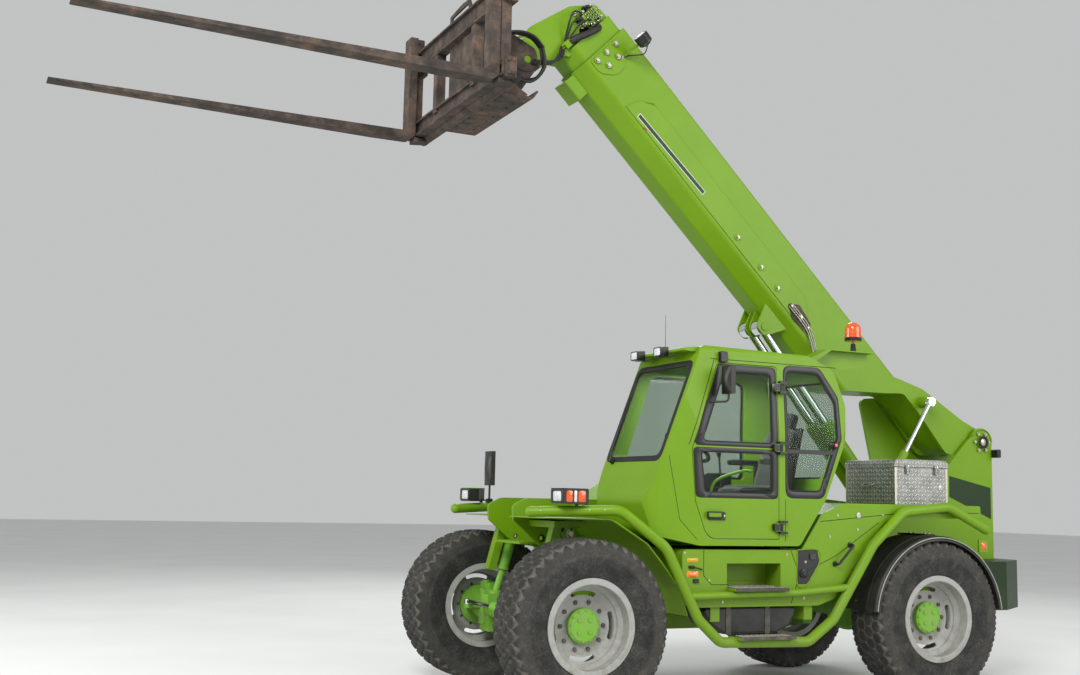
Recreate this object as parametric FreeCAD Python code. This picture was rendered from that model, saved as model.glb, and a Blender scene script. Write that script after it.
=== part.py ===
import FreeCAD, Part
import math
import os
from FreeCAD import Vector

# Telehandler with fixed cab, side engine pod and pallet forks. Millimetres.
# All sizes are given from the rear axle: X forward, Y to the left, Z up from the ground.
# The finished pieces are then moved along X so that the origin lies under the middle of the machine.

FRAME_SHIFT = -2565

# Fits
SEAT_GAP = 0.3
PIN_PLAY = 0.05
RUNNING_GAP = 2.0

# Wheels and axles
TYRE_RADIUS = 637
TYRE_WIDTH = 400
TREAD_WIDTH = 344
BEAD_RADIUS = 318
RIM_WIDTH = 356
RIM_FLANGE_RADIUS = 354
RIM_SHEET = 12
RIM_WELL_RADIUS = 285
WHEEL_Y = 998
HUB_RADIUS = 130
HUB_FACE = 57
HUB_FLANGE_RADIUS = 165
HUB_REAR = 112
DISC_FACE = 6
DISC_THICKNESS = 16
SPINDLE_RADIUS = 70
SPINDLE_LENGTH = 64
WHEELBASE = 3235
KINGPIN_Y = 790
KINGPIN_RADIUS = 32
KNUCKLE_RADIUS = 62
KNUCKLE_HALF_HEIGHT = 150
DRUM_RADIUS = 112
YOKE_ARM = 50
STEERING_ARM = 170
STEERING_ARM_HALF_WIDTH = 26
STEERING_ARM_HALF_HEIGHT = 15
STEERING_ROD_RADIUS = 18
STEERING_CYLINDER_RADIUS = 42
AXLE_TUBE_RADIUS = 85
DIFFERENTIAL_RADIUS = 200
AXLE_Z = TYRE_RADIUS
FRONT_AXLE_X = WHEELBASE
MUDGUARD_GAP = 36
MUDGUARD_SHEET = 8
MUDGUARD_LIP = 34

BLOCKS = 20
BLOCK_DEPTH = 24
BLOCK_OUTLINE = [(-50, 9), (50, 9), (72, 62), (62, 168), (-62, 168), (-72, 62)]
KIDNEYS = 4
KIDNEY_SPAN = 42
KIDNEY_RADII = (224, 256)
STUDS = 10
STUD_CIRCLE = 176
STUD_HOLE_RADIUS = 13

# Boom: along S from the pivot, up N, at the angle it is parked at
BOOM_ANGLE = 44.3
PIVOT_X = -1530
PIVOT_Z = 2185
PIVOT_PIN_RADIUS = 45
PIVOT_BOSS_RADIUS = 118
BOOM_Y = -150
BOOM_HALF_WIDTH = 220
BOOM_TOP = -290
BOOM_FOLD = -810
BOOM_BOTTOM = -930
BOOM_BOTTOM_HALF_WIDTH = 105
BOOM_WALL = 14
BOOM_FRONT = 5255
BOOM_BOX_START = 960
SLIDE_GAP = 26
INNER_WALL = 14
INNER_START = 1250
INNER_FRONT = 5420
ARM_PLATE = 34

SIDE_PLATE = 8
COVER_PLACES = (2243, 2594, 2846, 3197)
COVER_N = -715
BOOM_LAMP = (5075, -345)

# Lift and levelling cylinders
LIFT_PIN = (-850, 1050)
LIFT_PIN_RADIUS = 35
LIFT_SPREAD = 95
LUG_S = 2417
LUG_N = -1030
LEVEL_PIN = (-60, 1330)
LEVEL_Y = 190
LEVEL_PIN_RADIUS = 25
LEVEL_EYE_HALF = 30
EYE_CLEARANCE = 5

# Tilt pin at the boom head, and the tool that hangs on it
TILT_S = 5600
TILT_N = -1235
TILT_PIN_RADIUS = 32
HEAD_PLATE = 30
HEAD_HALF_WIDTH = 150

TILT_TOP = (5520, -560)
TILT_LEVER = (TILT_S + 193, TILT_N + 52)
HEAD_OUTLINE = [
    (INNER_FRONT - 40, BOOM_TOP - SLIDE_GAP - 2), (5560, -330, 60), (5700, -560, 120), (5790, -1000, 80),
    (TILT_S + 85, TILT_N, 70), (TILT_S + 20, TILT_N - 90, 60), (TILT_S - 90, TILT_N - 20, 60),
    (INNER_FRONT - 10, BOOM_BOTTOM + SLIDE_GAP + 10, 60), (INNER_FRONT - 40, BOOM_BOTTOM + SLIDE_GAP + 30),
]

# Chassis
PLATE_THICKNESS = 30
PLATE_GAP = 15
TOWER_RADIUS = 135
FLOOR_Z = 860
FLOOR_SHEET = 20
CHASSIS_REAR_BOTTOM = 845
REAR_X = -1660
NOSE_HOLE_RADIUS = 20
SUSPENSION_Y = 511
SUSPENSION_TOP = (FRONT_AXLE_X - 115, 1289)
SUSPENSION_RADIUS = 45
TOW_X = -1835
TOW_Z = 860
TOW_PIN_RADIUS = 16

# Bodies on both flanks, on two beams across the chassis
BEAM_XS = (1220, FRONT_AXLE_X - 1145)
BEAM_WIDTH = 80
BODY_BOTTOM = 760
BODY_TOP = 1195
BODY_SIDE = 1105
SHELF_Z = 1570
STEPS = ((FRONT_AXLE_X - 1695, FRONT_AXLE_X - 1195), (FRONT_AXLE_X - 1745, FRONT_AXLE_X - 1225))
FENDER_SIDE = 1115
HOOD_SLOTS = 6
TOOL_BOX_X = (-279, 294)
TOOL_BOX_Y = (356, 994)
TOOL_BOX_HEIGHT = 374

# Cab: X is given from the front axle
CAB_SPAN = (-2535, -235)
CAB_FLOOR = 1225
CAB_LEFT = 1134
CAB_RIGHT = 135
CAB_WALL = 40
CAB_CORNER = 130
CAB_ROOF_JOINT = 2665
DOOR_GAP = 6
GLASS_SHEET = 6
GLASS_INSET = 10
HINGE_X = -1663
HINGE_Y = CAB_LEFT + 22
HINGE_ZS = (1340, 1960, 2440)
HINGE_HEIGHT = 60
HINGE_RADIUS = 14
HINGE_PIN_RADIUS = 6
CAB_MOUNT_RADIUS = 45
WINDSCREEN_X = (-1035, -335)
WINDSCREEN_Y = (215, 1045)
WINDSCREEN_Z = (1880, 2630)
REAR_GLASS_X = (-2435, -1985)
REAR_GLASS_Y = (220, 1040)
REAR_GLASS_Z = (1760, 2560)
SEAT_Z = 1560
STEERING_WHEEL = (-1125, 635, 1990)
STEERING_WHEEL_RADIUS = 190
BRACKET_Z = 2836
BEACON = (-2592, 900)

# Ring tubes along both flanks
RING_RADIUS = 40
RING_Y = 1165
RING_FRONT = (FRONT_AXLE_X + 319, 760, 1455)
RING_BEND = (FRONT_AXLE_X - 275, 1075, 1480)
RING_REAR = (-540, RING_Y, 1371)

# Forks
FORK_LENGTH = 3000
FORK_WIDTH = 150
FORK_SPREAD = 935
FORK_HEEL_X = 4010
FORK_TOP_Z = 4770
SHANK_THICKNESS = 70
SHANK_HEIGHT = 860
CARRIAGE_HALF_WIDTH = 1060
DECK_HALF_WIDTH = 600


def box(x, y, z):
    return Part.makeBox(x[1] - x[0], y[1] - y[0], z[1] - z[0], Vector(x[0], y[0], z[0]))


def rod(start, end, radius):
    start, end = Vector(*start), Vector(*end)
    return Part.makeCylinder(radius, (end - start).Length, start, end - start)


def place(axis, at, a, b):
    return {"x": Vector(at, a, b), "y": Vector(a, at, b), "z": Vector(a, b, at)}[axis]


def rounded_edges(points):
    """Edges of a closed outline. A point is a Vector and the radius of its corner."""
    corners = []
    count = len(points)
    for i, (point, radius) in enumerate(points):
        if not radius:
            corners.append((point, point, None))
            continue
        before = (points[i - 1][0] - point).normalize()
        after = (points[(i + 1) % count][0] - point).normalize()
        half = before.getAngle(after) / 2
        reach = radius / math.tan(half)
        middle = (before + after).normalize() * (radius / math.sin(half) - radius)
        corners.append((point + before * reach, point + after * reach, point + middle))
    edges = []
    for i, (start, end, middle) in enumerate(corners):
        if middle:
            edges.append(Part.Arc(start, middle, end).toShape())
        following = corners[(i + 1) % count][0]
        if (following - end).Length > 0.001:
            edges.append(Part.LineSegment(end, following).toShape())
    return edges


def outline(axis, at, points):
    """Closed wire across an axis. Each point is (a, b) or (a, b, corner radius)."""
    listed = [(place(axis, at, p[0], p[1]), p[2] if len(p) > 2 else 0) for p in points]
    return Part.Wire(rounded_edges(listed))


def drawn_in(points, inset):
    """Corner points of a convex outline moved in by a distance; it runs either way round."""
    count = len(points)
    area = sum(points[i][0] * points[(i + 1) % count][1] - points[(i + 1) % count][0] * points[i][1]
               for i in range(count))
    turn = math.copysign(1, area)
    lines = []
    for i in range(count):
        (a0, b0), (a1, b1) = points[i][:2], points[(i + 1) % count][:2]
        length = math.hypot(a1 - a0, b1 - b0)
        normal = (-(b1 - b0) / length * turn, (a1 - a0) / length * turn)
        lines.append((normal, normal[0] * a0 + normal[1] * b0 + inset))
    corners = []
    for i, point in enumerate(points):
        (n0, d0), (n1, d1) = lines[i - 1], lines[i]
        across = n0[0] * n1[1] - n0[1] * n1[0]
        radius = point[2] if len(point) > 2 else 0
        corners.append(((d0 * n1[1] - d1 * n0[1]) / across, (n0[0] * d1 - n1[0] * d0) / across,
                        max(radius - inset, 0)))
    return corners


def prism(axis, span, points):
    face = Part.Face(outline(axis, span[0], points))
    length = span[1] - span[0]
    return face.extrude(place(axis, length, 0, 0))


def turned(points, start=(0, 0, 0), axis=(0, 1, 0)):
    """Ring about the Y axis. Points are (along Y, radius, corner radius)."""
    face = Part.Face(outline("x", 0, points))
    return face.revolve(Vector(*start), Vector(*axis), 360)


def bent_tube(points, radius):
    """Round bar along straight runs joined by arcs. Points are (x, y, z, bend radius)."""
    vectors = [Vector(p[0], p[1], p[2]) for p in points]
    edges = []
    last = vectors[0]
    for i in range(1, len(points) - 1):
        before = (vectors[i - 1] - vectors[i]).normalize()
        after = (vectors[i + 1] - vectors[i]).normalize()
        half = before.getAngle(after) / 2
        reach = points[i][3] / math.tan(half)
        middle = (before + after).normalize() * (points[i][3] / math.sin(half) - points[i][3])
        start = vectors[i] + before * reach
        end = vectors[i] + after * reach
        edges.append(Part.LineSegment(last, start).toShape())
        edges.append(Part.Arc(start, vectors[i] + middle, end).toShape())
        last = end
    edges.append(Part.LineSegment(last, vectors[-1]).toShape())
    direction = (vectors[1] - vectors[0]).normalize()
    circle = Part.Wire([Part.Circle(vectors[0], direction, radius).toShape()])
    return Part.Wire(edges).makePipeShell([circle], True, False)


def fuse(pieces):
    return pieces[0].multiFuse(pieces[1:]).removeSplitter()


def from_front(points):
    """Points of an outline that are given from the front axle."""
    return [(point[0] + FRONT_AXLE_X, *point[1:]) for point in points]


def mirrored(shape):
    return shape.mirror(Vector(0, 0, 0), Vector(0, 1, 0))


def moved(shape, x=0, y=0, z=0):
    copy = shape.copy()
    copy.translate(Vector(x, y, z))
    return copy


def on_boom(shape):
    """Moves a shape drawn along S and N to the parked boom."""
    copy = shape.copy()
    copy.rotate(Vector(0, 0, 0), Vector(0, 1, 0), -BOOM_ANGLE)
    copy.translate(Vector(PIVOT_X, 0, PIVOT_Z))
    return copy


def boom_point(s, n):
    angle = math.radians(BOOM_ANGLE)
    x = PIVOT_X + s * math.cos(angle) - n * math.sin(angle)
    z = PIVOT_Z + s * math.sin(angle) + n * math.cos(angle)
    return x, z


# Wheels, hubs, knuckles and axles

def tyre():
    """Tyre with two rows of six-sided blocks that stand half a pitch apart."""
    bead = RIM_WIDTH / 2 - RIM_SHEET - SEAT_GAP
    half = TYRE_WIDTH / 2
    tread = TREAD_WIDTH / 2
    crown = TYRE_RADIUS - BLOCK_DEPTH
    carcass = turned([
        (-bead, BEAD_RADIUS), (bead, BEAD_RADIUS), (bead, RIM_FLANGE_RADIUS + 4), (half, 455),
        (half, 545), (tread, crown), (-tread, crown), (-half, 545), (-half, 455),
        (-bead, RIM_FLANGE_RADIUS + 4),
    ])
    widest = max(point[0] for point in BLOCK_OUTLINE)
    top = math.sqrt(TYRE_RADIUS ** 2 - widest ** 2)
    pitch = 360 / BLOCKS
    blocks = []
    for side in (-1, 1):
        points = [(around, side * across) for around, across in BLOCK_OUTLINE]
        for i in range(BLOCKS):
            block = prism("z", (crown - 30, top), points)
            block.rotate(Vector(0, 0, 0), Vector(0, 1, 0), (i + side / 4) * pitch)
            blocks.append(block)
    return fuse([carcass] + blocks)


def kidneys():
    """Cutters for the long openings and the stud holes of a rim's disc."""
    middle = sum(KIDNEY_RADII) / 2
    end_radius = (KIDNEY_RADII[1] - KIDNEY_RADII[0]) / 2
    cutters = []
    for i in range(KIDNEYS):
        start = i * 360 / KIDNEYS - KIDNEY_SPAN / 2
        section = Part.Face(outline("x", 0, [
            (-60, KIDNEY_RADII[0]), (90, KIDNEY_RADII[0]), (90, KIDNEY_RADII[1]), (-60, KIDNEY_RADII[1])]))
        slot = section.revolve(Vector(0, 0, 0), Vector(0, 1, 0), KIDNEY_SPAN)
        end = rod((0, -60, middle), (0, 90, middle), end_radius)
        other = end.copy()
        other.rotate(Vector(0, 0, 0), Vector(0, 1, 0), KIDNEY_SPAN)
        for piece in (slot, end, other):
            piece.rotate(Vector(0, 0, 0), Vector(0, 1, 0), start)
            cutters.append(piece)
    for i in range(STUDS):
        angle = 2 * math.pi * i / STUDS
        x, z = STUD_CIRCLE * math.cos(angle), STUD_CIRCLE * math.sin(angle)
        cutters.append(rod((x, -40, z), (x, 40, z), STUD_HOLE_RADIUS))
    return cutters


def rim():
    half = RIM_WIDTH / 2
    flange = half - RIM_SHEET
    seat = BEAD_RADIUS - SEAT_GAP
    well = RIM_WELL_RADIUS
    sheet = RIM_SHEET
    hoop = turned([
        (half, RIM_FLANGE_RADIUS, 4), (flange, RIM_FLANGE_RADIUS), (flange, seat), (76, seat),
        (52, well), (-52, well), (-76, seat), (-flange, seat),
        (-flange, RIM_FLANGE_RADIUS), (-half, RIM_FLANGE_RADIUS), (-half, seat - sheet),
        (-82, seat - sheet), (-58, well - sheet), (58, well - sheet),
        (82, seat - sheet), (half, seat - sheet, 8),
    ])
    face = DISC_FACE
    back = DISC_FACE - DISC_THICKNESS
    bore = HUB_RADIUS + SEAT_GAP
    disc = turned([
        (face, bore), (face, 212, 20), (44, well - sheet + 4), (44 - DISC_THICKNESS, well - sheet + 4),
        (back, 205, 20), (back, bore),
    ])
    return fuse([hoop, disc]).cut(fuse(kidneys()))


def hub():
    disc_back = DISC_FACE - DISC_THICKNESS - SEAT_GAP
    body = turned([
        (HUB_FACE, 0), (HUB_FACE, HUB_RADIUS - 22, 10), (HUB_FACE - 12, HUB_RADIUS, 6),
        (disc_back, HUB_RADIUS), (disc_back, HUB_FLANGE_RADIUS), (disc_back - 28, HUB_FLANGE_RADIUS),
        (disc_back - 40, 118), (-HUB_REAR, 118), (-HUB_REAR, SPINDLE_RADIUS),
        (-HUB_REAR + SPINDLE_LENGTH + RUNNING_GAP, SPINDLE_RADIUS),
        (-HUB_REAR + SPINDLE_LENGTH + RUNNING_GAP, 0),
    ])
    bosses = []
    for angle in (45, 135, 225, 315):
        x = 62 * math.cos(math.radians(angle))
        z = 62 * math.sin(math.radians(angle))
        bosses.append(rod((x, HUB_FACE - 1, z), (x, HUB_FACE + 7, z), 15))
    return fuse([body] + bosses)


def knuckle(arm_sign):
    """Left knuckle about its kingpin. arm_sign is 1 for an arm ahead of the axle."""
    rear_of_hub = WHEEL_Y - HUB_REAR - KINGPIN_Y
    barrel = rod((0, 0, -KNUCKLE_HALF_HEIGHT), (0, 0, KNUCKLE_HALF_HEIGHT), KNUCKLE_RADIUS)
    pin_half = KNUCKLE_HALF_HEIGHT + YOKE_ARM + 14
    pin = rod((0, 0, -pin_half), (0, 0, pin_half), KINGPIN_RADIUS)
    drum = rod((0, 0, 0), (0, rear_of_hub - RUNNING_GAP, 0), DRUM_RADIUS)
    spindle_end = rear_of_hub + SPINDLE_LENGTH
    spindle = rod((0, 0, 0), (0, spindle_end, 0), SPINDLE_RADIUS - PIN_PLAY)
    tip = STEERING_ARM * arm_sign
    high = STEERING_ARM_HALF_HEIGHT
    half = STEERING_ARM_HALF_WIDTH
    arm = box((min(0, tip), max(0, tip)), (-half, half), (-high, high))
    eye = rod((tip, 0, -high), (tip, 0, high), half + 6)
    return fuse([barrel, pin, drum, spindle, arm, eye])


def mudguard():
    """Arched guard over a left wheel, on the knuckle, with a folded edge, strap and post."""
    inner = TYRE_RADIUS + MUDGUARD_GAP
    outer = inner + MUDGUARD_SHEET
    half = TYRE_WIDTH / 2 + 6
    sheet = MUDGUARD_SHEET
    ring = turned([
        (-half, inner), (half - 26, inner, 18), (half - sheet, inner - MUDGUARD_LIP),
        (half, inner - MUDGUARD_LIP), (half - 20, outer, 24), (-half, outer),
    ])
    arch = ring.common(box((-outer - 9, outer + 9), (-half - 9, half + 9), (70, outer + 9)))
    arch.translate(Vector(0, WHEEL_Y - KINGPIN_Y, 0))
    foot = KNUCKLE_HALF_HEIGHT + YOKE_ARM + 14 + SEAT_GAP
    post_y = -48
    plate = box((-45, 45), (-70, 34), (foot, foot + 12))
    post = rod((0, post_y, foot), (0, post_y, outer + 12), 16)
    strap = box((-40, 40), (post_y - 18, 300), (outer - 1, outer + 12))
    return fuse([arch, plate, post, strap])


def axle(cylinder_side, mounts):
    """Axle about its own centre. mounts are the pieces that carry it in the frame."""
    tube = rod((0, -660, 0), (0, 660, 0), AXLE_TUBE_RADIUS)
    ball = Part.makeSphere(DIFFERENTIAL_RADIUS, Vector(0, 0, 0))
    pieces = [tube, ball]
    high = KNUCKLE_HALF_HEIGHT + RUNNING_GAP
    for side in (-1, 1):
        block = sorted((side * 600, side * 700))
        pieces.append(box((-50, 50), block, (-high - YOKE_ARM, high + YOKE_ARM)))
        reach = sorted((side * 690, side * KINGPIN_Y))
        for up in (-1, 1):
            z = sorted((up * high, up * (high + YOKE_ARM)))
            pieces.append(box((-50, 50), reach, z))
            pieces.append(rod((0, side * KINGPIN_Y, z[0]), (0, side * KINGPIN_Y, z[1]), 50))
    x = cylinder_side * STEERING_ARM
    z = steering_rod_z()
    pieces.append(rod((x, -230, z), (x, 230, z), STEERING_CYLINDER_RADIUS))
    for y in (-190, 190):
        inner = cylinder_side * (AXLE_TUBE_RADIUS - 30)
        bracket_x = sorted((inner, cylinder_side * STEERING_ARM))
        pieces.append(box(bracket_x, (y - 14, y + 14), (z - 30, z + 20)))
    body = fuse(pieces + mounts)
    for side in (-1, 1):
        y = side * KINGPIN_Y
        body = body.cut(rod((0, y, -400), (0, y, 400), KINGPIN_RADIUS + PIN_PLAY))
    return body.cut(rod((x, -700, z), (x, 700, z), STEERING_ROD_RADIUS + PIN_PLAY))


def steering_rod_z():
    return STEERING_ARM_HALF_HEIGHT + RUNNING_GAP + STEERING_ROD_RADIUS


def steering_rod(side):
    x = side * STEERING_ARM
    z = steering_rod_z()
    low = STEERING_ARM_HALF_HEIGHT + 1
    bar = rod((x, -KINGPIN_Y, z), (x, KINGPIN_Y, z), STEERING_ROD_RADIUS)
    eyes = [rod((x, y, low), (x, y, z + 20), 30) for y in (-KINGPIN_Y, KINGPIN_Y)]
    return fuse([bar] + eyes)


def front_axle():
    link = box((-520, -60), (-110, 110), (-60, 60))
    pads = [box((-70, 130), (y - 70, y + 70), (40, 118)) for y in (-SUSPENSION_Y, SUSPENSION_Y)]
    return moved(axle(1, [link] + pads), x=FRONT_AXLE_X, z=AXLE_Z)


def rear_axle():
    top = CHASSIS_REAR_BOTTOM - AXLE_Z - SEAT_GAP
    pads = []
    for low, high in plate_spans():
        pads.append(box((-90, 90), (low - 25, high + 25), (40, top)))
    return moved(axle(-1, pads), z=AXLE_Z)


# Chassis, counterweight, tubes and bodywork


def plate_spans():
    """Y spans of the right and left chassis plates, each side of the boom."""
    inner = BOOM_HALF_WIDTH + PLATE_GAP
    right = (BOOM_Y - inner - PLATE_THICKNESS, BOOM_Y - inner)
    left = (BOOM_Y + inner, BOOM_Y + inner + PLATE_THICKNESS)
    return right, left


def chassis_plate(span, rear_ear):
    """One long side plate. The right one carries an ear behind the boom's pivot."""
    nose = from_front([
        (173, 1498, 40), (163, 1375, 30), (-72, 1180, 60), (-285, 1150, 60), (-515, 900, 80),
        (-615, 500, 40)])
    keel = [
        (720, 500, 40), (620, CHASSIS_REAR_BOTTOM, 40), (-620, CHASSIS_REAR_BOTTOM, 40), (-720, 640, 40),
        (REAR_X, 640, 30)]
    tower = [(REAR_X, 2200), (PIVOT_X, PIVOT_Z + TOWER_RADIUS), (PIVOT_X + TOWER_RADIUS + 40, PIVOT_Z + 10),
             (-1060, 1900, 60), (-700, 1480, 120)]
    if rear_ear:
        tower = tower[:2] + [(-1120, 2640, 40), (-470, 2580, 60), (-700, 1600, 120)]
    crown = [(0, 1250, 200)] + from_front([(-1335, 1250, 200), (-885, 1556, 120), (55, 1556, 80)])
    plate = prism("y", span, nose + keel + tower + crown)
    disc = rod((PIVOT_X, span[0], PIVOT_Z), (PIVOT_X, span[1], PIVOT_Z), TOWER_RADIUS)
    x, z = FRONT_AXLE_X - 82, 1239
    return plate.fuse(disc).cut(rod((x, span[0] - 1, z), (x, span[1] + 1, z), NOSE_HOLE_RADIUS))


def chassis_frame():
    """Both side plates, the cross members, all pin bosses and the brackets outside them."""
    right, left = plate_spans()
    inside = (right[1] - 1, left[0] + 1)
    sheet = FLOOR_SHEET
    pieces = [chassis_plate(left, False), chassis_plate(right, True)]
    for span in ((-1600, LIFT_PIN[0] - 110), (-420, FRONT_AXLE_X - 535)):
        pieces.append(box(span, inside, (FLOOR_Z, FLOOR_Z + sheet)))
    pieces.append(box((FRONT_AXLE_X - 335, FRONT_AXLE_X + 95), inside, (1190, 1190 + sheet)))
    pieces.append(box((FRONT_AXLE_X - 635, FRONT_AXLE_X - 535), inside, (510, FLOOR_Z + 1)))
    pieces.append(box((740, 800), inside, (520, FLOOR_Z + 1)))
    pieces.append(box((REAR_X, REAR_X + 25), inside, (640, 1800)))
    pieces.append(rod((PIVOT_X, right[0] - 20, PIVOT_Z), (PIVOT_X, left[1] + 20, PIVOT_Z),
                      PIVOT_PIN_RADIUS - PIN_PLAY))
    for face, out in ((right[0], -1), (left[1], 1)):
        pieces.append(rod((PIVOT_X, face - out, PIVOT_Z), (PIVOT_X, face + out * 24, PIVOT_Z), 62))
        for angle in range(0, 360, 60):
            x = PIVOT_X + 88 * math.cos(math.radians(angle))
            z = PIVOT_Z + 88 * math.sin(math.radians(angle))
            pieces.append(rod((x, face - out, z), (x, face + out * 12, z), 12))
    x, z = LIFT_PIN
    for low, high in ((right[0] - 22, right[0] + 1), (left[1] - 1, left[1] + 22)):
        pieces.append(rod((x, low, z), (x, high, z), 80))
    x, z = LEVEL_PIN
    pieces.append(prism("y", left, [(x - 170, 1150), (x - 60, z + 62, 60), (x + 60, z + 62, 60),
                                    (x + 170, 1150)]))
    pieces.append(rod((x, left[0] + 5, z), (x, LEVEL_Y + 50, z), LEVEL_PIN_RADIUS - PIN_PLAY))
    pieces += suspension_brackets()
    for low, high in ((left[1] - 1, 1080), (-1080, right[0] + 1)):
        for beam_x in BEAM_XS:
            pieces.append(box((beam_x, beam_x + BEAM_WIDTH), (low, high), (650, BODY_BOTTOM - SEAT_GAP)))
    return fuse(pieces)


def suspension_brackets():
    """Shelf, ears and pin over each suspension cylinder, with the square cover ahead of it."""
    right, left = plate_spans()
    x, z = SUSPENSION_TOP
    drop = 380
    lean = 103
    pieces = []
    for span in ((left[1] - 1, SUSPENSION_Y + 60), (-SUSPENSION_Y - 60, right[0] + 1)):
        pieces.append(box((x - 90, x + 140), span, (z + 45, z + 95)))
    for side in (-1, 1):
        y = side * SUSPENSION_Y
        for offset in (-48, 30):
            pieces.append(box((x - 45, x + 45), (y + offset, y + offset + 18), (z - 32, z + 50)))
        pieces.append(rod((x, y - 45, z), (x, y + 45, z), 18))
        pieces.append(prism("y", (y - 42, y + 42), [
            (x + 65, z + 50), (x + 135, z + 50), (x + 135 + lean, z + 50 - drop, 10),
            (x + 65 + lean, z + 50 - drop, 10)]))
    return pieces


def suspension_cylinders():
    x, z = SUSPENSION_TOP
    foot_x = FRONT_AXLE_X + 30
    foot_z = AXLE_Z + 118 + SEAT_GAP
    pieces = []
    for side in (-1, 1):
        y = side * SUSPENSION_Y
        eye = rod((x, y - 28, z), (x, y + 28, z), 40)
        top = (x + 0.12 * (foot_x - x), y, z + 0.12 * (foot_z - z))
        middle = (x + 0.62 * (foot_x - x), y, z + 0.62 * (foot_z - z))
        neck = rod((x, y, z), top, 26)
        barrel = rod(top, middle, SUSPENSION_RADIUS)
        piston = rod(middle, (foot_x, y, foot_z + 24), 28)
        foot = rod((foot_x, y, foot_z), (foot_x, y, foot_z + 30), 52)
        whole = fuse([eye, neck, barrel, piston, foot])
        pieces.append(whole.cut(rod((x, y - 60, z), (x, y + 60, z), 18 + PIN_PLAY)))
    return Part.makeCompound(pieces)


def counterweight():
    right, left = plate_spans()
    low, high = 640, 1075
    shape = prism("z", (low, high), [
        (-950, left[1] + SEAT_GAP), (-950, 600, 30), (-1330, 600, 60), (-1740, 330, 60),
        (-1790, 0, 40), (-1740, -430, 40), (-1330, -600, 60), (-950, -600, 30),
        (-950, right[0] - SEAT_GAP), (REAR_X - SEAT_GAP, right[0] - SEAT_GAP),
        (REAR_X - SEAT_GAP, left[1] + SEAT_GAP),
    ])
    hitch = []
    for z in (TOW_Z - 45, TOW_Z + 25):
        hitch.append(box((-1880, -1760), (-45, 45), (z, z + 20)))
    body = fuse([shape] + hitch)
    return body.cut(rod((TOW_X, 0, TOW_Z - 80), (TOW_X, 0, TOW_Z + 80), TOW_PIN_RADIUS))


def front_run(x):
    """Y and Z of the ring tube's first straight run at a distance X."""
    (x0, y0, z0), (x1, y1, z1) = RING_FRONT, RING_BEND
    share = (x - x0) / (x1 - x0)
    return y0 + share * (y1 - y0), z0 + share * (z1 - z0)


def ring_tube(steps):
    """Bent tube along one flank, with a thinner one inside it and, on the left, two steps."""
    y = RING_Y
    main = bent_tube([
        (*RING_FRONT, 0), (*RING_BEND, 160), (FRONT_AXLE_X - 618, y, 1209, 220),
        (FRONT_AXLE_X - 902, y, 677, 160), (FRONT_AXLE_X - 1098, y, 504, 110), (1323, y, 489, 110),
        (1080, y, 653, 160), (673, y, 1240, 260), (358, y, 1509, 160), (-124, y, 1558, 160),
        (*RING_REAR, 0),
    ], RING_RADIUS)
    ends = [Part.makeSphere(RING_RADIUS, Vector(*RING_FRONT)), Part.makeSphere(RING_RADIUS, Vector(*RING_REAR))]
    middle = bent_tube([(FRONT_AXLE_X - 810, y, 850, 0), (1436, y, 866, 160), (905, y, 905, 0)], 28)
    if steps:
        upper, lower = STEPS
        middle = middle.fuse(box(upper, (BODY_SIDE + 2, 1225), (886, 906)))
        main = main.fuse(box(lower, (BODY_SIDE - 25, 1245), (522, 542)))
    return fuse([main, middle] + ends)


def ring_tubes():
    return Part.makeCompound([ring_tube(True), mirrored(ring_tube(False))])


def front_fenders():
    """Sheet over each front tyre, trimmed in plan along the ring tube."""
    sheet = 8
    top = from_front([(205, 1405), (-225, 1405, 60), (-495, 1230, 120), (-765, 900, 100), (-835, 700)])
    under = from_front([
        (-835 - sheet, 700), (-765 - sheet, 905, 100), (-495 - sheet, 1238, 120),
        (-225 - sheet, 1405 + sheet, 60), (205, 1405 + sheet)])
    right, left = plate_spans()
    pieces = []
    for side, face in ((1, left[1]), (-1, -right[0])):
        sheet_piece = prism("y", sorted((side * (face + SEAT_GAP), side * FENDER_SIDE)), top + under)
        inside = prism("z", (600, 1500), [(x, side * y) for x, y in from_front([
            (-900, 0), (210, 0), (210, front_run(FRONT_AXLE_X + 210)[0] - 30),
            (-275, RING_BEND[1] - 30), (-618, FENDER_SIDE + 2), (-900, FENDER_SIDE + 2)])])
        pieces.append(sheet_piece.common(inside))
    return Part.makeCompound(pieces)


SIDE_BODY = from_front([
    (-795, BODY_TOP, 40), (-795, 1000, 40), (-935, BODY_BOTTOM, 40),
]) + [
    (1180, BODY_BOTTOM, 40), (1020, 810, 40), (640, 1300, 40), (470, 1440, 40), (-540, 1470, 20),
    (-540, SHELF_Z, 20),
] + from_front([(-2335, SHELF_Z, 40), (-2095, 1480, 40), (-1895, BODY_TOP, 30)])
CAB_MOUNTS = [(-1735, 330), (-1735, 940), (-1035, 330), (-1035, 940)]


def side_body_left():
    """Tank and battery body under the cab, with a step recess and the cab's mounts."""
    left = plate_spans()[1]
    body = prism("y", (left[1] + SEAT_GAP, BODY_SIDE), SIDE_BODY)
    body = body.cut(box(STEPS[0], (900, 1200), (905, 1090)))
    body = body.cut(box((-600, 460), (0, LEVEL_Y + 75), (1150, 1700)))
    mounts = [rod((x, y, BODY_TOP - 1), (x, y, CAB_FLOOR - SEAT_GAP), CAB_MOUNT_RADIUS)
              for x, y in from_front(CAB_MOUNTS)]
    return fuse([body] + mounts)


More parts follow.
